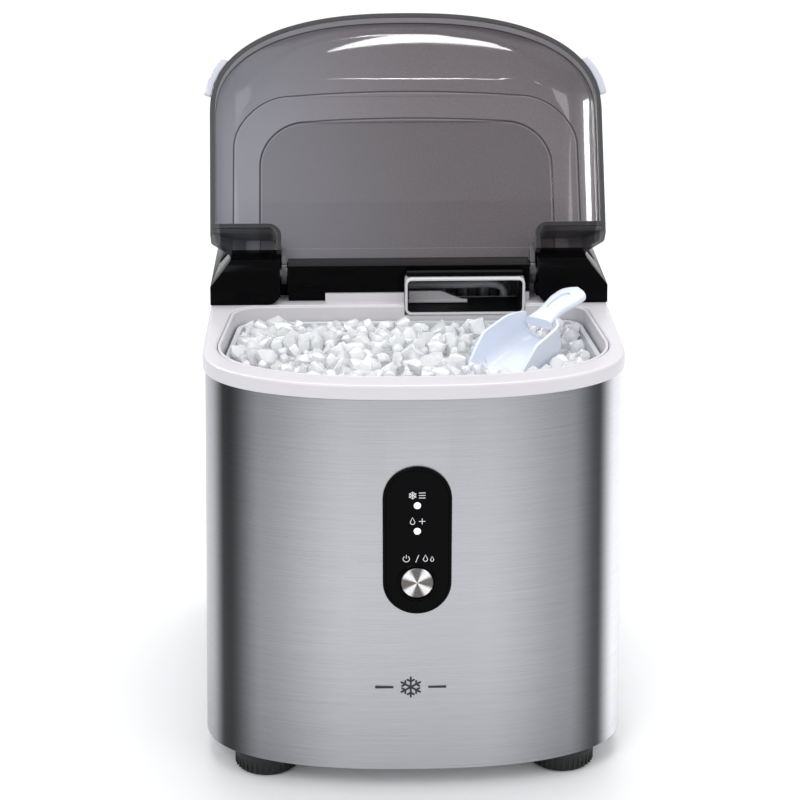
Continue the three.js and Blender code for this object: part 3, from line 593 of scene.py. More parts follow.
def smokedFinish():
    d = {"coolLitSide": tone("9699a3"), "warmShadedSide": tone("655c5e"), "haze": tone("777278"), "alpha": 0.9, "edgeAlpha": 0.95,
         "roughness": 0.3, "line": 0.5 * mm, "lineShade": 0.85, "lineHighlight": 0.22, "insideShade": 0.36,
         "wallPaintedLight": 0.7, "ribShade": 0.78}
    f = Finish("smokedPlasticPaintedLight")
    shift = hingeAt - Matrix.Rotation(openAngle, 3, "X") @ hingeAt
    shut = f.node("ShaderNodeMapping", None, {"Vector": f.place, "Rotation": (openAngle, 0, 0), "Location": shift})
    x, y, z = f.axes(shut)

    def past(halfWidth, frontY, radius):
        u = (abs(x) - (halfWidth - radius)).maths("MAXIMUM", 0.0)
        v = ((frontY + radius) - (y - x * x * contourArch)).maths("MAXIMUM", 0.0)
        return (u * u + v * v) ** 0.5 - radius

    cloud = f.noise(7, 3)
    fine = f.noise(1300, 2)
    speck = f.between(fine, 0.35, 0.65)
    # painted light: the lid is painted lighter and cooler towards the left and darker and warmer towards the right
    across = f.between(x + (z - y) * 0.25, -95 * mm, 130 * mm)
    base = f.mix(across, d["coolLitSide"], d["warmShadedSide"])
    base = f.mix(cloud * 0.25, base, d["haze"])
    base = f.mix(speck * 0.16, base, scaled(d["haze"], 1.6))
    innerPast = past(*lidShape["innerContour"])
    outerPast = past(*lidShape["outerContour"])
    base = f.mix(f.between(innerPast, -0.3 * mm, 0.3 * mm, d["insideShade"], 0.0), base, tone("2e292b"))
    wallTop = lidShape["knee"] - 2 * mm
    # painted light: the inner side of the lid's wall, below its top, is painted lighter
    base = f.mix(f.between(z, wallTop - 1 * mm, wallTop + 1 * mm, d["wallPaintedLight"], 0.0), base, tone("c4c2c6"))
    ribY = lidShape["bulkheadY"]
    ahead = f.between(y, ribY - 1 * mm, ribY - 0.4 * mm, 1.0, 0.0)
    # each embossed contour and the wall-top edge gets a painted shade line with a painted highlight line beside it
    for gap in (innerPast, outerPast, (z - wallTop) * 0.8):
        lineShadeMask = f.between(abs(gap), d["line"] * 0.5, d["line"] * 1.4, d["lineShade"], 0.0) * ahead
        lineHighlightMask = f.between(abs(gap + d["line"] * 2), d["line"] * 0.4, d["line"] * 1.4, d["lineHighlight"], 0.0) * ahead
        base = f.mix(lineHighlightMask, base, tone("b0acb2"))
        base = f.mix(lineShadeMask, base, tone("161416"))
    below = f.between(z, lidShape["top"] - lidShape["plate"] - 1.2 * mm, lidShape["top"] - lidShape["plate"] - 0.4 * mm,
                      d["ribShade"], 0.0)
    within = f.between(abs(x), lidShape["sideX"] - 7 * mm, lidShape["sideX"] - 5.5 * mm, 1.0, 0.0)
    base = f.mix((1 - ahead) * below * within, base, tone("232427"))
    # painted shade: a dark band along the lid's bottom edge
    edgeShade = f.between(z, lidShape["bottom"] + 0.5 * mm, lidShape["bottom"] + 1.6 * mm, 0.92, 0.0)
    base = f.mix(edgeShade, base, tone("0e0d0e"))
    facing = f.node("ShaderNodeLayerWeight", None, {"Blend": 0.25}, output=1)
    alpha = f.between(facing, 0.15, 0.95, d["alpha"], d["edgeAlpha"])
    gloss = d["roughness"] + speck * 0.05 + (cloud - 0.5) * 0.06
    return f.shade({"Base Color": base, "Roughness": gloss, "Alpha": alpha, "IOR": 1.45, "Coat Weight": 0.8,
                    "Coat Roughness": 0.015, "Specular IOR Level": 0.3, "Normal": f.bump(fine, 0.01 * mm, 0.5)})


def frostedFinish():
    f = Finish("frostedPlastic")
    cloud = f.noise(20, 3)
    fine = f.noise(800, 2)
    base = f.mix(cloud, tone("d4d8dc"), tone("e6e9ec"))
    return f.shade({"Base Color": base, "Roughness": 0.34 + (cloud - 0.5) * 0.15, "Alpha": 0.8 + (cloud - 0.5) * 0.1,
                    "Normal": f.bump(fine, 0.03 * mm)})


def iceFinish():
    f = Finish("clearIcePaintedGlow")
    cloud = f.noise(70, 3)
    veins = f.between(f.noise(260, 4, (1, 1, 2.5)), 0.45, 0.7)
    lumps = f.noise(180, 2)
    base = f.mix(cloud, tone("e9ebef"), tone("fdfdfe"))
    base = f.mix(veins * 0.6, base, tone("ffffff"))
    gloss = 0.05 + veins * 0.2
    # a faint emission paints a glow into the ice, standing in for light scattered inside it
    return f.shade({"Base Color": base, "Roughness": gloss, "IOR": 1.31, "Transmission Weight": 0.34,
                    "Subsurface Weight": 0.52, "Subsurface Radius": (1.0, 1.0, 1.0), "Subsurface Scale": 12 * mm,
                    "Coat Weight": 0.7, "Coat Roughness": 0.03, "Emission Color": base, "Emission Strength": 0.045,
                    "Normal": f.bump(lumps, 0.6 * mm, 0.7)})


def chromeFinish(centre):
    f = Finish("turnedChromePaintedSheen")
    x, y, z = f.axes()
    dx = x - centre.x
    dz = z - centre.z
    radius = f.node("ShaderNodeMath", {"operation": "SQRT"}, {0: dx * dx + dz * dz})
    angle = f.node("ShaderNodeMath", {"operation": "ARCTAN2"}, {0: dz, 1: dx})
    # painted reflection: the bright and dark wedges of the turned face are painted into its colour by angle around the
    # centre
    paintedSheen = abs(((angle - 0.06) * 2).maths("SINE")) ** 1.6
    rings = (radius * (math.tau / (0.28 * mm))).maths("SINE")
    grain = f.noise(900, 2)
    base = f.mix(f.between(paintedSheen, 0.35, 0.98), tone("67605e"), tone("f0eeee"))
    base = f.mix(f.between(grain, 0.4, 0.7) * 0.2, base, tone("9fa0a3"))
    return f.shade({"Base Color": base, "Metallic": 1.0, "Roughness": 0.2 + (grain - 0.5) * 0.1,
                    "Normal": f.bump(rings, 0.015 * mm, 0.7)})


def boardFinish():
    f = Finish("circuitBoard")
    tracks = f.between(f.cells(260), 0.0012, 0.0022)
    weave = f.noise(700, 2)
    base = f.mix(weave, tone("17402b"), tone("1f5a3b"))
    base = f.mix(tracks * 0.3, base, tone("3f7d55"))
    return f.shade({"Base Color": base, "Roughness": 0.45 + (weave - 0.5) * 0.2, "Normal": f.bump(tracks, 0.05 * mm)})


def lampFinish(glow):
    f = Finish("lampWhite")
    cloud = f.noise(300, 2)
    base = f.mix(cloud, tone("eceef1"), tone("ffffff"))
    return f.shade({"Base Color": base, "Roughness": 0.22 + cloud * 0.06, "Emission Color": base,
                    "Emission Strength": glow})


brushedSteelPaintedReflections = steelFinish()
smoked = smokedFinish()
frosted = frostedFinish()
ice = iceFinish()
buttonLow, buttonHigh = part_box("power_button")
buttonCentre = (buttonLow + buttonHigh) / 2
chrome = chromeFinish(buttonCentre)
board = boardFinish()
lampLit = lampFinish(0.9)
lampPlain = moulded("paleTab", tone("bfc1cb"), 0.3, 0.01, 0.2, 500, 0.03)
markGrey = moulded("printedMark", tone("d8d8da"), 0.45, 0.005, 0.0, 900, 0.04)
markDark = moulded("darkPrintedMark", tone("1d1d1f"), 0.4, 0.005, 0.0, 900, 0.1)
print("finishes made")

slotFinish = {
    "white_plastic": whitePlastic, "off_white_plastic": offWhite, "black_plastic": blackSatin,
    "black_rubber": rubber, "brushed_steel": brushedSteelPaintedReflections, "button_chrome": chrome, "zinc_steel": zinc,
    "copper_pipe": copper, "plain_aluminium": aluminium, "smoked_plastic": smoked, "frosted_plastic": frosted,
    "pale_blue_plastic": scoopPlastic, "circuit_board": board, "lamp_white": lampLit, "hose": hosePlastic,
    "painted_black": paintedBlack,
}
for part in frame["record"]["subparts"]:
    node = frame["nodes"][part["node"]]
    node.data.materials.clear()
    node.data.materials.append(slotFinish[part["material_slot"]])


# steel body

def steelBody():
    d = {"inset": 1.5 * mm, "thickness": 0.8 * mm, "hem": 5 * mm, "edge": 0.35 * mm}
    low, high = steelLow.z, steelHigh.z
    endY = steelHigh.y
    spread = (steelHigh.x - rimHigh.x + d["inset"]) / (rimHigh.x - d["inset"]) / (high - low)
    count = len(bodyPath)
    right = [p for p in bodyPath[:count // 2 + 40] if p[0] > 0 and p[1] < endY]
    left = [(-x, y) for x, y in reversed(right)]
    path = [(left[0][0], endY)] + left + [(0.0, bodyPlan["frontY"])] + right + [(right[-1][0], endY)]
    a, b = d["inset"], d["inset"] + d["thickness"]
    profile = [(a, low), (a, high), (b, high), (b, low + 0.8 * mm), (b + 2.5 * mm, low + 0.8 * mm),
               (b + 2.5 * mm, low)]
    profile = roundCorners(profile, [0.8 * mm, d["edge"], d["edge"], 0.1 * mm, 0.1 * mm, 0.3 * mm], 3)

    def place(x, y, z):
        return (x * (1 + spread * (high - z)), y, z)

    piece = wallPiece("steelBody", path, profile, openPath=True, place=place)
    tidyMesh(piece)
    plate = [(x * 0.82, (z - panelLow.z) * 0.92 + panelLow.z + 3.6 * mm) for x, z in stadium()]
    carve(piece, prism("panelHole", plate, steelLow.y - 5 * mm, steelLow.y + 12 * mm))
    smooth(piece, 30)
    ready(piece, "machine", "brushed_steel", brushedSteelPaintedReflections, "steel_wrap")


def stadium(shrink=0.0, steps=28):
    half = (panelHigh.x - panelLow.x) / 2 - shrink
    top, bottom = panelHigh.z - shrink - half, panelLow.z + shrink + half
    points = []
    for i in range(steps + 1):
        angle = math.pi * i / steps
        points.append((half * math.cos(angle), top + half * math.sin(angle)))
    for i in range(steps + 1):
        angle = math.pi * (1 + i / steps)
        points.append((half * math.cos(angle), bottom + half * math.sin(angle)))
    return points


def rimPiece():
    d = {"outerRound": 2.6 * mm, "innerRound": 1.5 * mm, "skirt": 4 * mm}
    low, top = rimTop - 8.5 * mm, rimTop
    outer = [(3.2 * mm, low + 3 * mm), (3.2 * mm, low), (0.0, low), (0.0, top), (d["skirt"], top)]
    outerRound = roundCorners([(20 * mm, low + 3 * mm)] + outer, [0, 0.3 * mm, 0.5 * mm, 0.9 * mm,
                                                              d["outerRound"], 0.0], 6)[1:]
    rings = [[(x, y, z) for x, y in offsetPath(bodyPath, inset)] for inset, z in outerRound]
    inner = [(-3.2 * mm, top), (-0.3 * mm, top), (-0.3 * mm, low + 3 * mm), (-3 * mm, low + 3 * mm)]
    innerRound = roundCorners(inner, [0, d["innerRound"], 0.2 * mm, 0], 6)
    rings += [[(x, y, z) for x, y in offsetPath(wellPath, inset)] for inset, z in innerRound]
    piece = loft("topRim", rings, loopRings=True)
    tidyMesh(piece)
    rearLow = (-108 * mm, 18 * mm, low - 1 * mm)
    carve(piece, boxPiece("rearOpening", rearLow, (108 * mm, 136 * mm, top + 9 * mm)))
    ductLow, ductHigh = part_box("window_duct")
    slack = 0.3 * mm
    cutLow = (ductLow.x - slack, -20 * mm, ductLow.z - slack)
    carve(piece, boxPiece("windowCut", cutLow, (ductHigh.x + slack, 25 * mm, top + 9 * mm)))
    stepTop = rimHigh.z
    for side in ((-51 * mm, ductLow.x - slack), (ductHigh.x + slack, 73.4 * mm)):
        step = boxPiece("rimStep", (side[0], 3.5 * mm, top - 1 * mm), (side[1], 15.5 * mm, stepTop))
        carve(piece, step, "UNION")
    bevelled(piece, 0.5 * mm, 2, 50)
    evenNormals(piece, 40)
    ready(piece, "machine", "white_plastic", whitePlastic, "top_rim")


def tubPiece():
    d = {"wall": 2 * mm, "floor": 2.5 * mm, "edge": 0.8 * mm}
    low, high = tubLow.z, tubHigh.z
    rings = []
    profile = [(0.0, low), (0.0, high), (d["wall"], high), (d["wall"] + 0.6 * mm, low + d["floor"])]
    for inset, z in roundCorners(profile, [5 * mm, d["edge"], d["edge"], 5 * mm], 4):
        rings.append([(x, y, z) for x, y in offsetPath(wellPath, inset)])
    piece = loft("innerTub", rings, capFirst=True, capLast=True)
    tidyMesh(piece)
    ductLow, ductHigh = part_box("window_duct")
    slack = 0.3 * mm
    cutLow = (ductLow.x - slack, -20 * mm, ductLow.z - slack)
    carve(piece, boxPiece("windowCut", cutLow, (ductHigh.x + slack, 25 * mm, high + 9 * mm)))
    evenNormals(piece, 40)
    ready(piece, "machine", "white_plastic", whitePlastic, "inner_tub")


steelBody()
rimPiece()
tubPiece()
print("body, rim and tub made")


# lid, drawn shut and then swung open about its hinge

def softMin(a, b, k):
    overlap = max(k - abs(a - b), 0.0)
    return min(a, b) - overlap * overlap / (4 * k)


def resample(path, count):
    lengths = [0.0]
    for a, b in zip(path, path[1:]):
        lengths.append(lengths[-1] + math.dist(a, b))
    made = []
    k = 0
    for i in range(count):
        target = lengths[-1] * i / (count - 1)
        while k < len(path) - 2 and lengths[k + 1] < target:
            k += 1
        t = (target - lengths[k]) / max(lengths[k + 1] - lengths[k], 1e-9)
        made.append(tuple(a + (b - a) * t for a, b in zip(path[k], path[k + 1])))
    return made


def contour(halfWidth, frontY, radius, count):
    right = []
    for i in range(41):
        angle = math.pi / 2 * i / 40
        x = halfWidth - radius + radius * math.sin(angle)
        right.append((x, frontY + radius - radius * math.cos(angle) + contourArch * x * x))
    right.append((halfWidth, 0.0))
    return resample([(-x, y) for x, y in reversed(right)] + right, count)


def lidPiece():
    d = lidShape
    startY = bodyPlan["frontY"] + bodyPlan["cornerDepth"]
    front = frontCurve(bodyPlan, 60)
    side = [(bodyPlan["halfWidth"] - 0.8 * mm * t, startY * (1 - t)) for t in [k / 14 for k in range(1, 15)]]
    edge = resample([(-x, y) for x, y in reversed(side)] + front + side, d["points"])
    steep = (d["top"] - d["knee"]) / d["lean"]
    wallDrop = d["wall"] * math.hypot(1, steep)

    def roof(inset, y, drop, shoulderDrop, fillet=1.6 * mm):
        slope = d["top"] + (y - d["slopeY"]) * d["rise"] - drop
        height = softMin(slope, d["top"] - drop, 1.2 * mm)
        if inset is None:
            return height
        return softMin(height, d["knee"] + inset * steep - shoulderDrop, fillet)

    def filletAt(x, drop):
        sideways = min(max((abs(x) - 72 * mm) / (20 * mm), 0.0), 1.0) if drop else 0.0
        return 1.6 * mm + (d["sideFillet"] - 1.6 * mm) * sideways

    dense = resample(edge, 3000)
    tree = kdtree.KDTree(len(dense))
    for i, (x, y) in enumerate(dense):
        tree.insert((x, y, 0), i)
    tree.balance()

    def flat(inset, z):
        return [(x, y, z) for x, y in offsetPath(edge, inset, False)]

    def shell(inset, drop=0.0, shoulderDrop=0.0):
        return [(x, y, roof(inset, y, drop, shoulderDrop, filletAt(x, drop)))
                for x, y in offsetPath(edge, inset, False)]

    def blend(a, b, t, drop, sink=0.0):
        ring = []
        for (ax, ay), (bx, by) in zip(a, b):
            x, y = ax + (bx - ax) * t, ay + (by - ay) * t
            inset = tree.find((x, y, 0))[2]
            ring.append((x, y, roof(inset, y, drop, wallDrop if drop else 0.0, filletAt(x, drop)) - sink))
        return ring

    shoulderEnd = offsetPath(edge, 14 * mm, False)
    outer = contour(*d["outerContour"], d["points"])
    inner = contour(*d["innerContour"], d["points"])
    outerIn = offsetPath(outer, 0.7 * mm, False)
    innerIn = offsetPath(inner, 0.7 * mm, False)
    insets = [0.5, 1.2, 2, 3, 4, 5.5, 7, 8.5, 9.5, 10.3, 11, 11.6, 12.2, 12.8, 13.4]
    top = [flat(0.35 * mm, d["bottom"]), flat(0.0, d["bottom"] + 0.4 * mm), flat(0.0, d["knee"] - 1.8 * mm)]
    top.append(flat(0.12 * mm, d["knee"] - 0.8 * mm))
    top += [shell(i * mm) for i in insets]
    top += [blend(shoulderEnd, outer, t, 0.0) for t in (0.0, 0.2, 0.4, 0.6, 0.8, 0.93, 1.0)]
    top += [blend(outerIn, inner, t, 0.0, d["emboss"]) for t in (0.0, 0.25, 0.5, 0.75, 1.0)]
    under = [flat(d["wall"] - 0.35 * mm, d["bottom"]), flat(d["wall"], d["bottom"] + 0.4 * mm)]
    under.append(flat(d["wall"], d["knee"] - 2.2 * mm))
    under += [shell(i * mm, d["plate"], wallDrop) for i in insets if i > 3]
    under += [blend(shoulderEnd, outer, t, d["plate"]) for t in (0.0, 0.2, 0.4, 0.6, 0.8, 0.93, 1.0)]
    under += [blend(outerIn, inner, t, d["plate"], d["emboss"]) for t in (0.0, 0.25, 0.5, 0.75, 1.0)]
    under.append(blend(innerIn, innerIn, 0.0, d["plate"], d["emboss"] - d["recess"]))
    rings = list(reversed(under)) + top

    def trimmed(point):
        x, y, z = point
        end = d["endLow"] + (d["endHigh"] - d["endLow"]) * (z - d["bottom"]) / (d["top"] - d["bottom"])
        start = -20 * mm
        return (x, start + (y - start) * (end - start) / -start, z) if y > start else point

    rings = [[trimmed(p) for p in ring] for ring in rings]
    shellPiece = loft("lidShell", rings, openPath=True)
    work = bmesh.new()
    work.from_mesh(shellPiece.data)
    half = d["points"] // 2
    for ring in (rings[0], rings[-1]):
        rows = []
        for i in range(half + 1):
            a, b = Vector(ring[i]), Vector(ring[-1 - i])
            rows.append([work.verts.new(a.lerp(b, k / d["columns"])) for k in range(d["columns"] + 1)])
        for low, high in zip(rows, rows[1:]):
            for k in range(d["columns"]):
                work.faces.new((low[k], low[k + 1], high[k + 1], high[k]))
    bmesh.ops.remove_doubles(work, verts=work.verts, dist=0.01 * mm)
    bmesh.ops.dissolve_degenerate(work, edges=work.edges, dist=0.005 * mm)
    rim = [e for e in work.edges if e.is_boundary]
    bmesh.ops.edgeloop_fill(work, edges=rim)
    bmesh.ops.recalc_face_normals(work, faces=work.faces)
    work.to_mesh(shellPiece.data)
    work.free()

    tab, wall, under = d["tabHalf"], d["tabWall"], d["top"] - d["plate"]
    plate = boxPiece("lidTongue", (-tab, -3.2 * mm, under + 0.02 * mm), (tab, d["tabEnd"], d["top"] - 0.02 * mm))
    parts = [bevelled(plate, 0.9 * mm, 3)]
    lowZ, sideX, bend = d["bottom"] + 0.06 * mm, rimHigh.x - 1.6 * mm, d["ribBend"]
    for side in (-1, 1):
        path = [(sideX - 16 * mm * k / 8, 0.0) for k in range(9)]
        path += [(tab + bend - bend * math.sin(t), bend * (1 - math.cos(t)))
                 for t in [math.pi / 2 * k / 10 for k in range(11)]]
        path.append((tab, d["tabEnd"] - 0.1 * mm - d["bulkheadY"]))
        path = [(side * x, d["bulkheadY"] + y) for x, y in path]

        def ribTop(x):
            return min(under + 1.2 * mm, d["knee"] + (sideX - abs(x)) * steep + 1.0 * mm)

        sections = []
        inner = offsetPath(path, -side * wall, False)
        for (x, y), (u, v) in zip(path, inner):
            sections.append([(x, y, lowZ), (u, v, lowZ), (u, v, ribTop(u)), (x, y, ribTop(x))])
        parts.append(bevelled(tidyMesh(loft("lidRib", sections, capFirst=True, capLast=True)), 0.35 * mm, 2, 50))
        near, far = sorted((side * (tab - wall), side * tab))
        arm = boxPiece("lidArm", (near + 0.05 * mm, 2 * mm, hingeAt.z - 7.5 * mm),
                       (far - 0.05 * mm, hingeAt.y - 3 * mm, hingeAt.z + 7.5 * mm))
        ear = [(3.3 * mm, near), (7.5 * mm, near), (7.5 * mm, far), (3.3 * mm, far), (3.3 * mm, near)]
        parts += [bevelled(arm, 0.3 * mm, 2), lathe("lidEar", ear, (0, hingeAt.y, hingeAt.z), "X")]
    joined(shellPiece, *parts)
    shellPiece.data.transform(swingOpen)
    evenNormals(shellPiece, 24)
    ready(shellPiece, "lid", "smoked_plastic", smoked, "lid_shell")


def fingerTabs():
    for side, name in ((-1, "left"), (1, "right")):
        piece = cadCopy("fingerTab_" + name, "lid_tab_" + name, 0.6 * mm, 3)
        ready(piece, "lid", "lamp_white", lampPlain, "lid_tab_" + name)


lidPiece()
fingerTabs()
print("lid made")


# rear deck, ice window and the black sleeve that paints the shade inside it

def deckPiece():
    piece = cadCopy("rearDeck", "rear_deck", 0.7 * mm, 3, 30, 40)
    fill = boxPiece("lowBar", (-73.6 * mm, 5.3 * mm, rimTop + 0.2 * mm), (-51.2 * mm, 15 * mm, rimTop + 8 * mm))
    ductLow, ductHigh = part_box("window_duct")
    hood = boxPiece("hood", (ductLow.x + 0.8 * mm, ductLow.y + 3.2 * mm, ductHigh.z + 0.15 * mm),
                    (ductHigh.x - 0.8 * mm, 6 * mm, ductHigh.z + 3 * mm))
    joined(piece, bevelled(fill, 0.4 * mm, 2), bevelled(hood, 1.0 * mm, 3))
    ready(smooth(piece, 40), "machine", "black_plastic", blackGloss, "rear_deck")


def windowPiece():
    low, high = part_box("window_duct")
    wall, radius = 1.6 * mm, 4 * mm

    def frameRing(shrink, y):
        a, b = low.x + shrink, high.x - shrink
        c, e = low.z + shrink, high.z - shrink
        r = max(radius - shrink, 1.0 * mm)
        points = []
        for cx, cz, start in ((b - r, e - r, 0), (a + r, e - r, 90), (a + r, c + r, 180), (b - r, c + r, 270)):
            for k in range(9):
                angle = math.radians(start + 90 * k / 8)
                points.append((cx + r * math.cos(angle), y, cz + r * math.sin(angle)))
        return points

    profile = roundCorners([(0.0, high.y), (0.0, low.y), (wall, low.y), (wall, high.y)], [0.2 * mm, 0.7 * mm,
                                                                                   0.5 * mm, 0.2 * mm], 4)
    piece = loft("iceWindow", [frameRing(s, y) for s, y in profile], loopRings=True)
    tidyMesh(piece)
    ready(smooth(piece, 35), "machine", "white_plastic", whitePlastic, "window_duct")
    # a black sleeve inside the window frame stands in for the shade inside the ice chamber
    depth = 1.4 * mm
    sleeve = [(wall + 0.05 * mm, low.y + depth), (wall + 0.35 * mm, low.y + depth), (wall + 0.35 * mm, high.y),
              (wall + 0.05 * mm, high.y)]
    shadeSleeve = loft("windowLining", [frameRing(s, y) for s, y in sleeve], loopRings=True)
    tidyMesh(shadeSleeve)
    ready(smooth(shadeSleeve, 35), "machine", "black_plastic", blackSatin)


deckPiece()
windowPiece()
print("deck and window made")


# basket, ice and scoop

def basketPiece():
    low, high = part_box("ice_basket")
    d = {"inset": 5 * mm, "wall": 1.8 * mm, "floor": 2 * mm, "lip": 1.6 * mm, "slot": (4 * mm, 22 * mm), "pitch": 12.5 * mm}
    a, b = d["inset"], d["inset"] + d["wall"]
    lipLow = high.z - 2 * mm
    profile = [(a, low.z), (a, lipLow), (a - d["lip"], lipLow), (a - d["lip"], high.z), (b - 0.4 * mm, high.z),
               (b, lipLow - 2 * mm), (b, low.z + d["floor"])]
    radii = [7 * mm, 0.4 * mm, 0.4 * mm, 0.7 * mm, 0.7 * mm, 1 * mm, 6 * mm]
    rings = [[(x, y, z) for x, y in offsetPath(wellPath, inset)] for inset, z in roundCorners(profile, radii, 5)]
    piece = loft("iceBasket", rings, capFirst=True, capLast=True)
    tidyMesh(piece)
    slot = boxPiece("floorSlot", (-4 * mm, 0, -1 * mm), (4 * mm, 24 * mm, 4 * mm))
    places = [(column * 25 * mm, (-110 + row * 33) * mm, low.z) for column in range(-3, 4) for row in range(3)]
    carve(piece, repeated("floorSlots", slot, places, frosted))
    half, tall = d["slot"][0] / 2, d["slot"][1]
    wide = boxPiece("wallSlot", (-half, -150 * mm, 0), (half, 10 * mm, tall))
    columns = [(k * d["pitch"], 0, low.z + 14 * mm) for k in range(-5, 6)]
    columns += [(k * d["pitch"], 0, low.z + 46 * mm) for k in range(-5, 6)]
    carve(piece, repeated("wallSlots", wide, columns, frosted))
    drop(slot, wide)
    ready(smooth(piece, 35), "basket", "frosted_plastic", frosted, "ice_basket")


scoopShape = {
    "tip": (42 * mm, -94 * mm, 246 * mm), "yaw": 49.5, "pitch": 13.5, "length": 92 * mm, "bowl": 54 * mm,
    "width": 40 * mm, "depth": 18 * mm, "wall": 1.8 * mm, "corner": 9 * mm,
}
scoopPlace = (Matrix.Translation(scoopShape["tip"]) @ Matrix.Rotation(math.radians(scoopShape["yaw"]), 4, "Z")
              @ Matrix.Rotation(math.radians(-scoopShape["pitch"]), 4, "Y"))


def scoopPiece():
    d = scoopShape

    def section(s, shrink):
        t = s / d["bowl"]
        half = d["width"] / 2 * (0.93 + 0.07 * math.sin(math.pi * min(t * 1.1, 1.0))) - shrink
        closing = max((t - 0.8) / 0.2, 0.0)
        half *= 1 - 0.42 * closing ** 2
        floor = -d["depth"] + shrink + 4.5 * mm * closing ** 2
        brim = (-13 + 16.2 * min(t / 0.42, 1.0) ** 0.75) * mm
        corner = max(d["corner"] - shrink, 2 * mm)
        points = [(-half, brim)]
        for k in range(9):
            angle = math.pi + math.pi / 2 * k / 8
            points.append((-half + corner + corner * math.cos(angle), floor + corner + corner * math.sin(angle)))
        points += [(-u, v) for u, v in reversed(points)]
        return [(s, u, min(v, brim)) for u, v in points]

    steps = [d["bowl"] * k / 26 for k in range(27)]
    outside = [section(s, 0.0) for s in steps]
    inside = [section(min(s, d["bowl"] - d["wall"]), d["wall"]) for s in steps]
    rings = []
    for a, b in zip(outside, inside):
        rings.append(a + list(reversed(b)))
    bowl = loft("iceScoop", rings, capFirst=True, capLast=True)
    tidyMesh(bowl)
    bevelled(bowl, 0.5 * mm, 2, 40)
    handle = []
    for k in range(25):
        t = k / 24
        s = d["bowl"] - 3 * mm + (d["length"] - d["bowl"] + 3 * mm) * t
        half = (9.5 - 3.0 * math.sin(math.pi * min(t * 1.6, 1.0)) * (1 - t)) * mm
        if t > 0.82:
            half *= math.sqrt(max(1 - ((t - 0.82) / 0.18) ** 2, 0.02))
        z = (-1.0 + 1.2 * math.sin(math.pi * t)) * mm
        ring = []
        for j in range(24):
            angle = math.tau * j / 24
            u = math.copysign(abs(math.cos(angle)) ** 0.55, math.cos(angle)) * half
            v = math.copysign(abs(math.sin(angle)) ** 0.7, math.sin(angle)) * 3.0 * mm
            ring.append((s, u, z + v))
        handle.append(ring)
    grip = tidyMesh(loft("scoopHandle", handle, capFirst=True, capLast=True))
    groove = []
    for k in range(9):
        t = k / 8
        s = d["bowl"] + 7 * mm + (d["length"] - d["bowl"] - 16 * mm) * t
        half = 3.6 * mm * math.sqrt(max(1 - (2 * t - 1) ** 4, 0.05))
        groove.append([(s, -half, 1.6 * mm), (s, half, 1.6 * mm), (s, half, 5 * mm), (s, -half, 5 * mm)])
    carve(grip, tidyMesh(loft("groove", groove, capFirst=True, capLast=True)))
    carve(bowl, grip, "UNION")
    bowl.data.transform(scoopPlace)
    smooth(bowl, 38)
    ready(bowl, "scoop", "pale_blue_plastic", scoopPlastic, "ice_scoop")


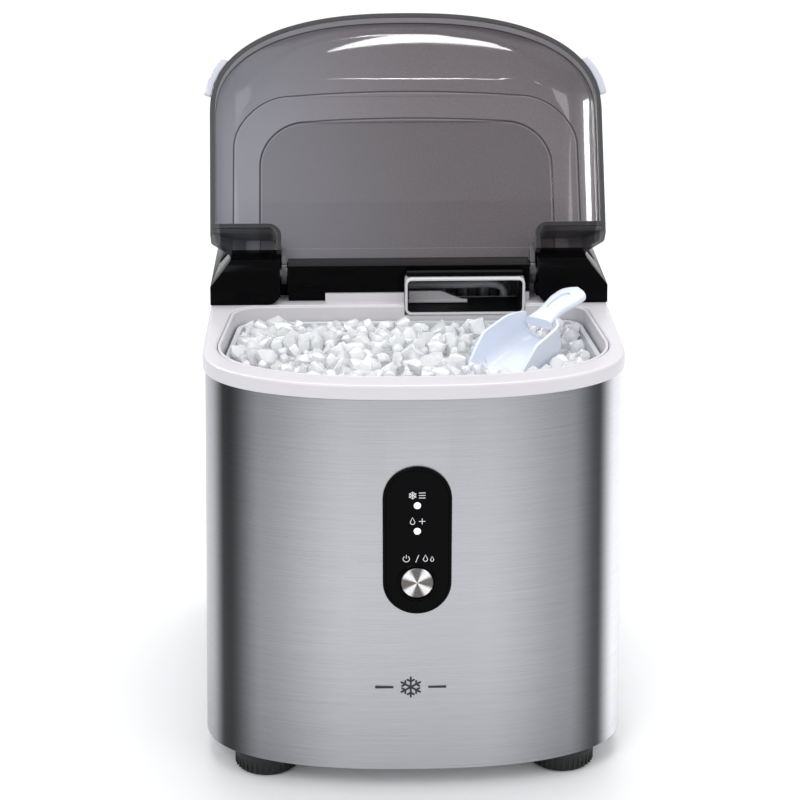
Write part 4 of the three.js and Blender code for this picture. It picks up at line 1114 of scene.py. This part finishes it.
def iceHeap():
    d = {"chunks": 7, "corners": 17, "size": 6.8 * mm, "spacing": 6.6 * mm, "seed": 11, "margin": 11 * mm, "rear": -17 * mm,
         "layers": (0.0, 8.5 * mm), "core": 7.5 * mm}
    low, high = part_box("ice_basket")
    rand = random.Random(d["seed"])
    bumps = [(-6, -37, 38, 23, 20.5), (-76, -66, 34, 44, 6.0), (30, -78, 34, 30, 2.0), (92, -52, 16, 40, 2.0)]

    def surfaceAt(x, y):
        height = 241 * mm
        for cx, cy, wx, wy, rise in bumps:
            height += rise * mm * math.exp(-((x / mm - cx) / wx) ** 2 - ((y / mm - cy) / wy) ** 2)
        near = scoopPlace.inverted() @ Vector((x, y, height))
        along = min(max((near.x + 4 * mm) / (10 * mm), 0), 1) * min(max((70 * mm - near.x) / (8 * mm), 0), 1)
        across = min(max((26 * mm - abs(near.y)) / (8 * mm), 0), 1)
        under = (scoopPlace @ Vector((near.x, near.y, -scoopShape["depth"]))).z - 9 * mm
        return height + (min(under, height) - height) * along * across

    shapes = bpy.data.collections.new("iceShapes")
    bpy.context.scene.collection.children.link(shapes)
    for n in range(d["chunks"]):
        work = bmesh.new()
        stretch = (rand.uniform(0.8, 1.35), rand.uniform(0.7, 1.1), rand.uniform(0.6, 0.95))
        for _ in range(d["corners"]):
            spot = Vector([rand.gauss(0, 1) for _ in range(3)]).normalized() * rand.uniform(0.82, 1.08)
            work.verts.new([c * s * d["size"] for c, s in zip(spot, stretch)])
        hull = bmesh.ops.convex_hull(work, input=work.verts)
        loose = [e for e in hull["geom_interior"] if isinstance(e, bmesh.types.BMVert)]
        bmesh.ops.delete(work, geom=loose, context="VERTS")
        mesh = bpy.data.meshes.new("iceShape%d" % n)
        bmesh.ops.recalc_face_normals(work, faces=work.faces)
        work.to_mesh(mesh)
        work.free()
        mesh.shade_smooth()
        shape = bpy.data.objects.new("iceShape%d" % n, mesh)
        shapes.objects.link(shape)

    sizes = {"Shapes": "Collection", "Spacing": "Float", "Seed": "Int", "Small": "Float", "Large": "Float",
             "Material": "Material"}
    g = Growth("iceScatter", sizes)
    values = {"Mesh": g.given("Geometry"), "Distance Min": g.given("Spacing"), "Density Max": 60000.0,
              "Seed": g.given("Seed")}
    points = g.node("GeometryNodeDistributePointsOnFaces", {"distribute_method": "POISSON"}, values)
    kinds = g.node("GeometryNodeCollectionInfo", None, {"Collection": g.given("Shapes"), "Separate Children": True,
                                                       "Reset Children": True})
    pick = g.node("FunctionNodeRandomValue", {"data_type": "INT"}, {4: 0, 5: d["chunks"] - 1, "Seed": g.given("Seed")}, 2)
    turn = g.node("FunctionNodeRandomValue", {"data_type": "FLOAT_VECTOR"}, {0: (0, 0, 0), 1: (6.28, 6.28, 6.28), "Seed": 5}, 0)
    size = g.node("FunctionNodeRandomValue", {"data_type": "FLOAT"}, {2: g.given("Small"), 3: g.given("Large"), "Seed": 9}, 1)
    values = {"Points": points, "Instance": kinds, "Pick Instance": True, "Instance Index": pick, "Rotation": turn,
              "Scale": size}
    g.close(g.node("GeometryNodeInstanceOnPoints", None, values))

    edge = [(x, min(y, d["rear"])) for x, y in offsetPath(wellPath, d["margin"])]
    centre = (0.0, sum(y for _, y in edge) / len(edge))
    rings = 26

    def mound(sink, name, closed):
        layers = []
        for k in range(rings + 1):
            t = 1 - k / rings * 0.985
            layer = []
            for x, y in edge:
                px, py = centre[0] + (x - centre[0]) * t, centre[1] + (y - centre[1]) * t
                layer.append((px, py, surfaceAt(px, py) - sink))
            layers.append(layer)
        if closed:
            floor = low.z + 3 * mm
            layers.insert(0, [(x, y, floor) for x, y in offsetPath(wellPath, 12 * mm)])
        return loft(name, layers, capFirst=closed, capLast=True)

    for number, sink in enumerate(d["layers"]):
        seeds = mound(sink, "iceSeeds", False)
        values = {"Shapes": shapes, "Spacing": d["spacing"] + number * 1.5 * mm, "Seed": 3 + number,
                  "Small": 0.42, "Large": 1.22, "Material": ice}
        layer = g.grow("iceLayer_%d" % (number + 1), seeds, values)
        ready(smooth(layer, 48), "basket", "frosted_plastic", ice)
    core = tidyMesh(mound(d["core"], "iceCore", True))
    ready(smooth(core, 40), "basket", "frosted_plastic", ice)
    for shape in list(shapes.objects):
        drop(shape)
    bpy.data.collections.remove(shapes)


basketPiece()
scoopPiece()
iceHeap()
print("basket, scoop and ice made")


# front panel, button, lamps and printed marks

def panelPiece():
    front = panelLow.y
    d = {"bevel": 0.7 * mm, "skirtBack": 2.4 * mm, "grooveAt": 1.5 * mm, "groove": 0.18 * mm}
    profile = [(0.0, front + d["skirtBack"]), (0.0, front + d["bevel"]), (0.22 * mm, front + 0.28 * mm),
               (d["bevel"], front), (d["grooveAt"], front), (d["grooveAt"] + 0.15 * mm, front + d["groove"]),
               (d["grooveAt"] + 0.45 * mm, front + d["groove"]), (d["grooveAt"] + 0.6 * mm, front)]
    rings = [[(x, y, z) for x, z in reversed(stadium(shrink))] for shrink, y in profile]
    piece = loft("panelBezel", rings, capFirst=True, capLast=True)
    tidyMesh(piece)
    ringHalf = (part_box("button_ring")[1].x) + 0.2 * mm
    hole = [(ringHalf, front - 5 * mm), (ringHalf, front + 9 * mm)]
    carve(piece, lathe("ringHole", hole, (0, 0, buttonCentre.z), "Y", 64))
    for n in (1, 2):
        low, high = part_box("led_lens_%d" % n)
        hole = [(high.x + 0.15 * mm, front - 5 * mm), (high.x + 0.15 * mm, front + 9 * mm)]
        carve(piece, lathe("lampHole", hole, (0, 0, (low.z + high.z) / 2), "Y", 32))
    ready(smooth(piece, 30), "machine", "black_plastic", blackGloss, "panel_bezel")


def buttonParts():
    low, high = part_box("button_ring")
    outer, z = high.x, buttonCentre.z
    inner = buttonHigh.x + 0.5 * mm
    profile = [(inner, high.y), (inner, low.y + 0.5 * mm), (inner + 0.2 * mm, low.y + 0.1 * mm),
               (inner + 0.6 * mm, low.y), (outer - 0.5 * mm, low.y + 0.15 * mm), (outer, low.y + 0.6 * mm),
               (outer, high.y), (inner, high.y)]
    ring = lathe("buttonRing", profile, (0, 0, z), "Y", 72)
    ready(ring, "machine", "black_plastic", blackGloss, "button_ring")
    front, back, r = buttonLow.y, buttonHigh.y, buttonHigh.x
    face = [(3 * mm, back), (3 * mm, -148.6 * mm), (r, -148.6 * mm), (r, front + 0.75 * mm),
            (r - 0.15 * mm, front + 0.35 * mm), (r - 0.6 * mm, front), (r - 1.1 * mm, front + 0.05 * mm),
            (r * 0.6, front + 0.22 * mm), (r * 0.3, front + 0.3 * mm), (0.05 * mm, front + 0.32 * mm)]
    knob = lathe("powerButton", face, (0, 0, z), "Y", 96)
    ready(knob, "power_key", "button_chrome", chrome, "power_button")
    for n in (1, 2):
        lampLow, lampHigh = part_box("led_lens_%d" % n)
        r = lampHigh.x
        dome = [(r, lampHigh.y), (r, lampLow.y + 0.45 * mm), (r * 0.92, lampLow.y + 0.2 * mm),
                (r * 0.7, lampLow.y + 0.06 * mm), (r * 0.35, lampLow.y), (0.02 * mm, lampLow.y)]
        lens = lathe("lampLens_%d" % n, dome, (0, 0, (lampLow.z + lampHigh.z) / 2), "Y", 36)
        ready(lens, "machine", "lamp_white", lampLit, "led_lens_%d" % n)


def stroke(a, b, width, y0, y1):
    along = (Vector(b) - Vector(a)).normalized() * width / 2
    across = Vector((-along.y, along.x))
    points = []
    for k in range(7):
        angle = math.pi * k / 6
        points.append(Vector(b) + across * -math.cos(angle) + along * math.sin(angle))
    for k in range(7):
        angle = math.pi * k / 6
        points.append(Vector(a) - across * -math.cos(angle) - along * math.sin(angle))
    return prism("stroke", [(p.x, p.y) for p in points], y0, y1)


def ribbon(points, width, y0, y1, closed=False):
    left, right = (offsetPath(points, side * width / 2, closed) for side in (-1, 1))
    rings = [[(x, y, z) for x, z in path] for path, y in ((left, y0), (right, y0), (right, y1), (left, y1))]
    columns = [list(column) for column in zip(*rings)]
    piece = loft("ribbon", columns, loopRings=closed, capFirst=not closed, capLast=not closed)
    return tidyMesh(piece)


def stepped(marks):
    for k, mark in enumerate(marks):
        mark.data.transform(Matrix.Translation((0, -0.002 * mm * k, 0)))  # keeps crossing strokes from sharing a face
    return joined(marks[0], *marks[1:])


def flake(centre, size, width, y0, y1):
    marks = []
    for k in range(6):
        angle = math.pi / 2 + math.tau * k / 6
        reach = Vector((math.cos(angle), math.sin(angle)))
        middle = Vector(centre)
        marks.append(stroke(middle, middle + reach * size, width, y0, y1))
        for turn in (-1, 1):
            twig = Matrix.Rotation(turn * math.pi / 3, 2) @ reach
            fork = middle + reach * size * 0.58
            marks.append(stroke(fork, fork + twig * size * 0.34, width, y0, y1))
    return marks


def arcLine(centre, radius, start, end, steps=20):
    made = []
    for k in range(steps + 1):
        angle = math.radians(start + (end - start) * k / steps)
        made.append((centre[0] + radius * math.cos(angle), centre[1] + radius * math.sin(angle)))
    return made


def marksOnPanel():
    d = {"raise": 0.07 * mm, "line": 0.42 * mm, "iceZ": 187.3 * mm, "dropZ": 171.6 * mm, "powerZ": 148.8 * mm,
         "flake": 2.2 * mm, "pair": 2.7 * mm, "wide": 6.2 * mm}
    y0, y1 = panelLow.y - d["raise"], panelLow.y + 0.1 * mm
    line = d["line"]

    def drop(x, z, r):
        return ribbon(arcLine((x, z), r, 150, 390, 22) + [(x, z + 2.3 * r)], line, y0, y1, True)

    def bars(x, z, size):
        return [stroke((x - size, z + k * size * 0.9), (x + size, z + k * size * 0.9), line, y0, y1) for k in (-1, 0, 1)]

    marks = flake((-d["pair"], d["iceZ"]), d["flake"], line, y0, y1) + bars(d["pair"], d["iceZ"], 1.7 * mm)
    marks += [drop(-d["pair"], d["dropZ"] - 0.5 * mm, 1.25 * mm)]
    x, z, size = d["pair"], d["dropZ"], 1.6 * mm
    marks += [stroke((x - size, z), (x + size, z), line, y0, y1), stroke((x, z - size), (x, z + size), line, y0, y1)]
    power = (-d["wide"], d["powerZ"])
    marks += [ribbon(arcLine(power, 1.8 * mm, 125, 415, 24), line, y0, y1)]
    marks += [stroke((power[0], power[1] + 0.4 * mm), (power[0], power[1] + 2.3 * mm), line, y0, y1)]
    marks += [stroke((-0.8 * mm, d["powerZ"] - 2 * mm), (0.8 * mm, d["powerZ"] + 2.2 * mm), line, y0, y1)]
    marks += [drop(d["wide"] - 1.6 * mm, d["powerZ"] - 0.4 * mm, 1.2 * mm)]
    marks += [drop(d["wide"] + 2.2 * mm, d["powerZ"] - 0.7 * mm, 0.9 * mm)]
    piece = stepped(marks)
    piece.name = "panelMarks"
    ready(piece, "machine", "lamp_white", markGrey)


def markOnSteel():
    d = {"z": 67.5 * mm, "x": -3.5 * mm, "flake": 6.2 * mm, "line": 1.15 * mm, "bar": (10.5 * mm, 20 * mm)}
    y0, y1 = steelLow.y - 0.12 * mm, steelLow.y + 0.9 * mm
    marks = flake((d["x"], d["z"]), d["flake"], d["line"], y0, y1)
    for side in (-1, 1):
        a, b = (d["x"] + side * d["bar"][0], d["z"]), (d["x"] + side * d["bar"][1], d["z"])
        marks.append(stroke(a, b, d["line"], y0 - 0.1 * mm, y1))
    piece = stepped(marks)
    piece.name = "frontMark"
    ready(piece, "machine", "black_plastic", markDark)


# feet and the back

def feetPieces():
    d = {"ribs": 36, "rib": 0.5 * mm}
    for corner in ("front_left", "front_right", "rear_left", "rear_right"):
        low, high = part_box("foot_" + corner)
        centre = ((low.x + high.x) / 2, (low.y + high.y) / 2, 0)
        r, top = (high.x - low.x) / 2, high.z
        profile = [(r - 5.5 * mm, 0.4 * mm), (r - 5 * mm, 0), (r - 3.2 * mm, 0), (r - 2.4 * mm, 0.5 * mm),
                   (r - 2 * mm, 1.5 * mm), (r - 0.6 * mm, top - 3.6 * mm), (r - 0.1 * mm, top - 3 * mm),
                   (r, top - 2.4 * mm), (r, top - 0.5 * mm), (r - 0.5 * mm, top)]
        foot = lathe("rubberFoot_" + corner, profile, centre, "Z", 64)
        rib = boxPiece("footRib", (r - 2.6 * mm, -d["rib"], 1.8 * mm), (r - 1.2 * mm, d["rib"], top - 3.8 * mm))
        shape = newPiece("ribShape", [v.co - Vector((r - 2 * mm, 0, 0)) for v in rib.data.vertices],
                         [tuple(p.vertices) for p in rib.data.polygons])
        ribs = ringOf("footRibs", shape, d["ribs"], r - 1.6 * mm, rubber, Matrix.Translation(centre))
        drop(rib, shape)
        joined(foot, ribs)
        ready(foot, "machine", "black_rubber", rubber, "foot_" + corner)


def backPieces():
    panel = cadCopy("rearPanel", "rear_panel", 0, 2, 40, 35)
    low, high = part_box("rear_panel")
    d = {"rows": 9, "pitch": 9 * mm, "firstZ": 62 * mm, "half": 34 * mm, "centres": (-56 * mm, 56 * mm)}
    face = high.y
    slat = [[(side * d["half"], -2.6 * mm, 0.6 * mm), (side * d["half"], 0.35 * mm, -0.6 * mm),
             (side * d["half"], 0.35 * mm, 0.2 * mm), (side * d["half"], -2.6 * mm, 1.5 * mm)] for side in (-1, 1)]
    shape = bevelled(tidyMesh(loft("slatShape", slat, capFirst=True, capLast=True)), 0.15 * mm, 2)
    places = [(x, face, d["firstZ"] + row * d["pitch"] + 2.6 * mm) for x in d["centres"] for row in range(d["rows"])]
    slats = repeated("rearSlats", shape, places, offWhite)
    drop(shape)
    joined(panel, slats)
    ready(smooth(panel, 35), "machine", "off_white_plastic", offWhite, "rear_panel")

    places = []
    for n in range(1, 5):
        a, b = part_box("rear_screw_%d" % n)
        places.append(((a.x + b.x) / 2, b.y, (a.z + b.z) / 2))
    r = (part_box("rear_screw_1")[1].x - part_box("rear_screw_1")[0].x) / 2
    head = [(0.05 * mm, 0.0), (r * 0.5, -0.12 * mm), (r * 0.85, -0.6 * mm), (r, -1.3 * mm), (r, -2.0 * mm),
            (r * 0.45, -2.0 * mm), (r * 0.45, -9 * mm), (0.05 * mm, -10 * mm)]
    screw = lathe("screwShape", head, (0, 0, 0), "Y", 32)
    for wide, tall in ((2.0 * mm, 0.35 * mm), (0.35 * mm, 2.0 * mm)):
        carve(screw, boxPiece("cross", (-wide, -1.0 * mm, -tall), (wide, 1 * mm, tall)))
    smooth(screw, 35)
    screws = repeated("rearScrews", screw, places, zinc)
    drop(screw)
    nodes = ["rear_screw_%d" % n for n in range(1, 5)]
    ready(smooth(screws, 35), "machine", "zinc_steel", zinc, *nodes)


def glandAndCap():
    low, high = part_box("cord_gland")
    centre = ((low.x + high.x) / 2, 0, (low.z + high.z) / 2)
    r, face = (high.x - low.x) / 2, high.y
    profile = [(3.4 * mm, low.y), (r, low.y), (r, face - 0.7 * mm), (r - 0.7 * mm, face), (5.2 * mm, face),
               (4.6 * mm, face - 0.8 * mm), (3.4 * mm, face - 1.2 * mm), (3.4 * mm, low.y)]
    ready(lathe("cordGland", profile, centre, "Y", 48), "machine", "black_rubber", rubber, "cord_gland")
    low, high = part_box("drain_cap")
    centre = ((low.x + high.x) / 2, 0, (low.z + high.z) / 2)
    r, face = (high.x - low.x) / 2, high.y
    profile = [(6.8 * mm, low.y), (7 * mm, low.y + 0.4 * mm), (7 * mm, low.y + 2.6 * mm), (r - 0.6 * mm, low.y + 2.6 * mm),
               (r - 0.5 * mm, face - 1 * mm), (r - 1.3 * mm, face - 0.1 * mm), (r - 2.2 * mm, face),
               (r - 3 * mm, face - 0.5 * mm), (0.05 * mm, face - 0.7 * mm)]
    cap = lathe("drainCap", profile, centre, "Y", 56)
    rib = boxPiece("capRib", (-0.6 * mm, -0.45 * mm, -1.6 * mm), (0.6 * mm, 0.45 * mm, 1.4 * mm))
    move = (Matrix.Translation((centre[0], face - 2.6 * mm, centre[2])) @ Matrix.Rotation(-math.pi / 2, 4, "X"))
    ribs = ringOf("capRibs", rib, 28, r - 0.6 * mm, rubber, move)
    drop(rib)
    tab = boxPiece("capTab", (-1.5 * mm, -1.2 * mm, -5 * mm), (1.5 * mm, 0, 5 * mm))
    tab.data.transform(Matrix.Translation((centre[0], face, centre[2])))
    joined(cap, ribs, bevelled(tab, 0.4 * mm, 2))
    ready(smooth(cap, 35), "drain_plug", "black_rubber", rubber, "drain_cap")


panelPiece()
buttonParts()
marksOnPanel()
markOnSteel()
feetPieces()
backPieces()
glandAndCap()
print("panel, feet and back made")


# floor, lights and camera

def studio():
    d = {"floor": 9.0, "floorTone": tone("f4f4f4"), "world": 0.78, "worldTone": tone("f6f8fb")}
    size = d["floor"]
    floor = newPiece("floor", [(-size, -size, 0), (size, -size, 0), (size, size, 0), (-size, size, 0)], [(0, 1, 2, 3)])
    f = Finish("paleFloor")
    mottle = f.noise(3, 3)
    base = f.mix(mottle * 0.3, d["floorTone"], scaled(d["floorTone"], 0.98))
    floor.data.materials.append(f.shade({"Base Color": base, "Roughness": 0.7 + mottle * 0.05}))
    world = bpy.data.worlds.new("studio")
    bpy.context.scene.world = world
    world.use_nodes = True
    sky = world.node_tree.nodes["Background"]
    sky.inputs["Color"].default_value = d["worldTone"]
    sky.inputs["Strength"].default_value = d["world"]


lamps = {
    "keyLight": {"at": (-0.9, -1.5, 1.9), "size": 1.1, "power": 14},
    "fillLight": {"at": (1.3, -1.1, 1.3), "size": 1.2, "power": 6},
    "topLight": {"at": (0.1, 0.5, 2.1), "size": 1.4, "power": 20},
    "floorLight": {"at": (0.0, 3.0, 2.6), "size": 2.5, "power": 30, "aim": (0.0, 3.2, 0.0)},
}


def light(name, at, size, power, aim=(0, 0, 0.2)):
    data = bpy.data.lights.new(name, "AREA")
    data.shape = "SQUARE"
    data.size = size
    data.energy = power
    lamp = bpy.data.objects.new(name, data)
    lamp.location = at
    lamp.rotation_euler = (Vector(aim) - Vector(at)).to_track_quat("-Z", "Y").to_euler()
    bpy.context.scene.collection.objects.link(lamp)


def glossCard(name, points, glow):
    card = newPiece(name, points, [(0, 1, 2, 3)] if len(points) == 4 else [tuple(range(len(points)))])
    f = Finish(name + "Glow")
    soft = f.noise(4, 2)
    white = f.mix(soft, tone("fafbff"), tone("ffffff"))
    card.data.materials.append(f.shade({"Base Color": white, "Roughness": 0.8 + soft * 0.05,
                                        "Emission Color": white, "Emission Strength": glow}))
    card.visible_camera = False
    card.visible_diffuse = False
    card.visible_shadow = False
    card.visible_transmission = False


def crescentCard():
    d = {"half": 0.124, "centre": (0.067, -1.25, 1.219), "upper": 0.027, "lower": 0.0145, "glow": 34.0}
    upper, lower = [], []
    for k in range(25):
        t = k / 12 - 1
        middle = Vector(d["centre"]) + Vector((t * d["half"], 0, 0))
        upper.append(middle + Vector((0, 0, d["upper"] * (1 - abs(t) ** 2.2))))
        lower.append(middle + Vector((0, 0, d["lower"] * (1 - t * t))))
    glossCard("crescentCard", upper + list(reversed(lower[1:-1])), d["glow"])


def stripCard():
    d = {"from": (0.1135, 0.0595, 0.3255), "towards": (-0.905, 0.07, 0.42), "distance": 0.4, "wide": 0.06,
         "tall": 0.1, "glow": 30.0}
    aim = Vector(d["towards"]).normalized()
    middle = Vector(d["from"]) + aim * d["distance"]
    along = Vector((0, 0.59, 0.8)).cross(aim).cross(aim).normalized() * d["tall"] / 2
    across = along.cross(aim).normalized() * d["wide"] / 2
    glossCard("stripCard", [middle - across - along, middle + across - along, middle + across + along,
                            middle - across + along], d["glow"])


def camera():
    d = {"distance": 1.4, "tilt": 19.867, "turn": 1.565, "target": (-7.233 * mm, -60 * mm, 210.83 * mm),
         "lens": 106.58}
    tilt, turn = math.radians(d["tilt"]), math.radians(d["turn"])
    ahead = Vector((math.sin(turn) * math.cos(tilt), math.cos(turn) * math.cos(tilt), -math.sin(tilt)))
    data = bpy.data.cameras.new("camera")
    data.lens = d["lens"]
    data.sensor_width = 36
    data.clip_end = 50
    eye = bpy.data.objects.new("camera", data)
    eye.location = Vector(d["target"]) - ahead * d["distance"]
    eye.rotation_euler = ahead.to_track_quat("-Z", "Y").to_euler()
    bpy.context.scene.collection.objects.link(eye)
    bpy.context.scene.camera = eye


studio()
for name, values in lamps.items():
    light(name, **values)
crescentCard()
stripCard()
camera()
bpy.context.scene.view_settings.view_transform = "Standard"
print("studio ready")
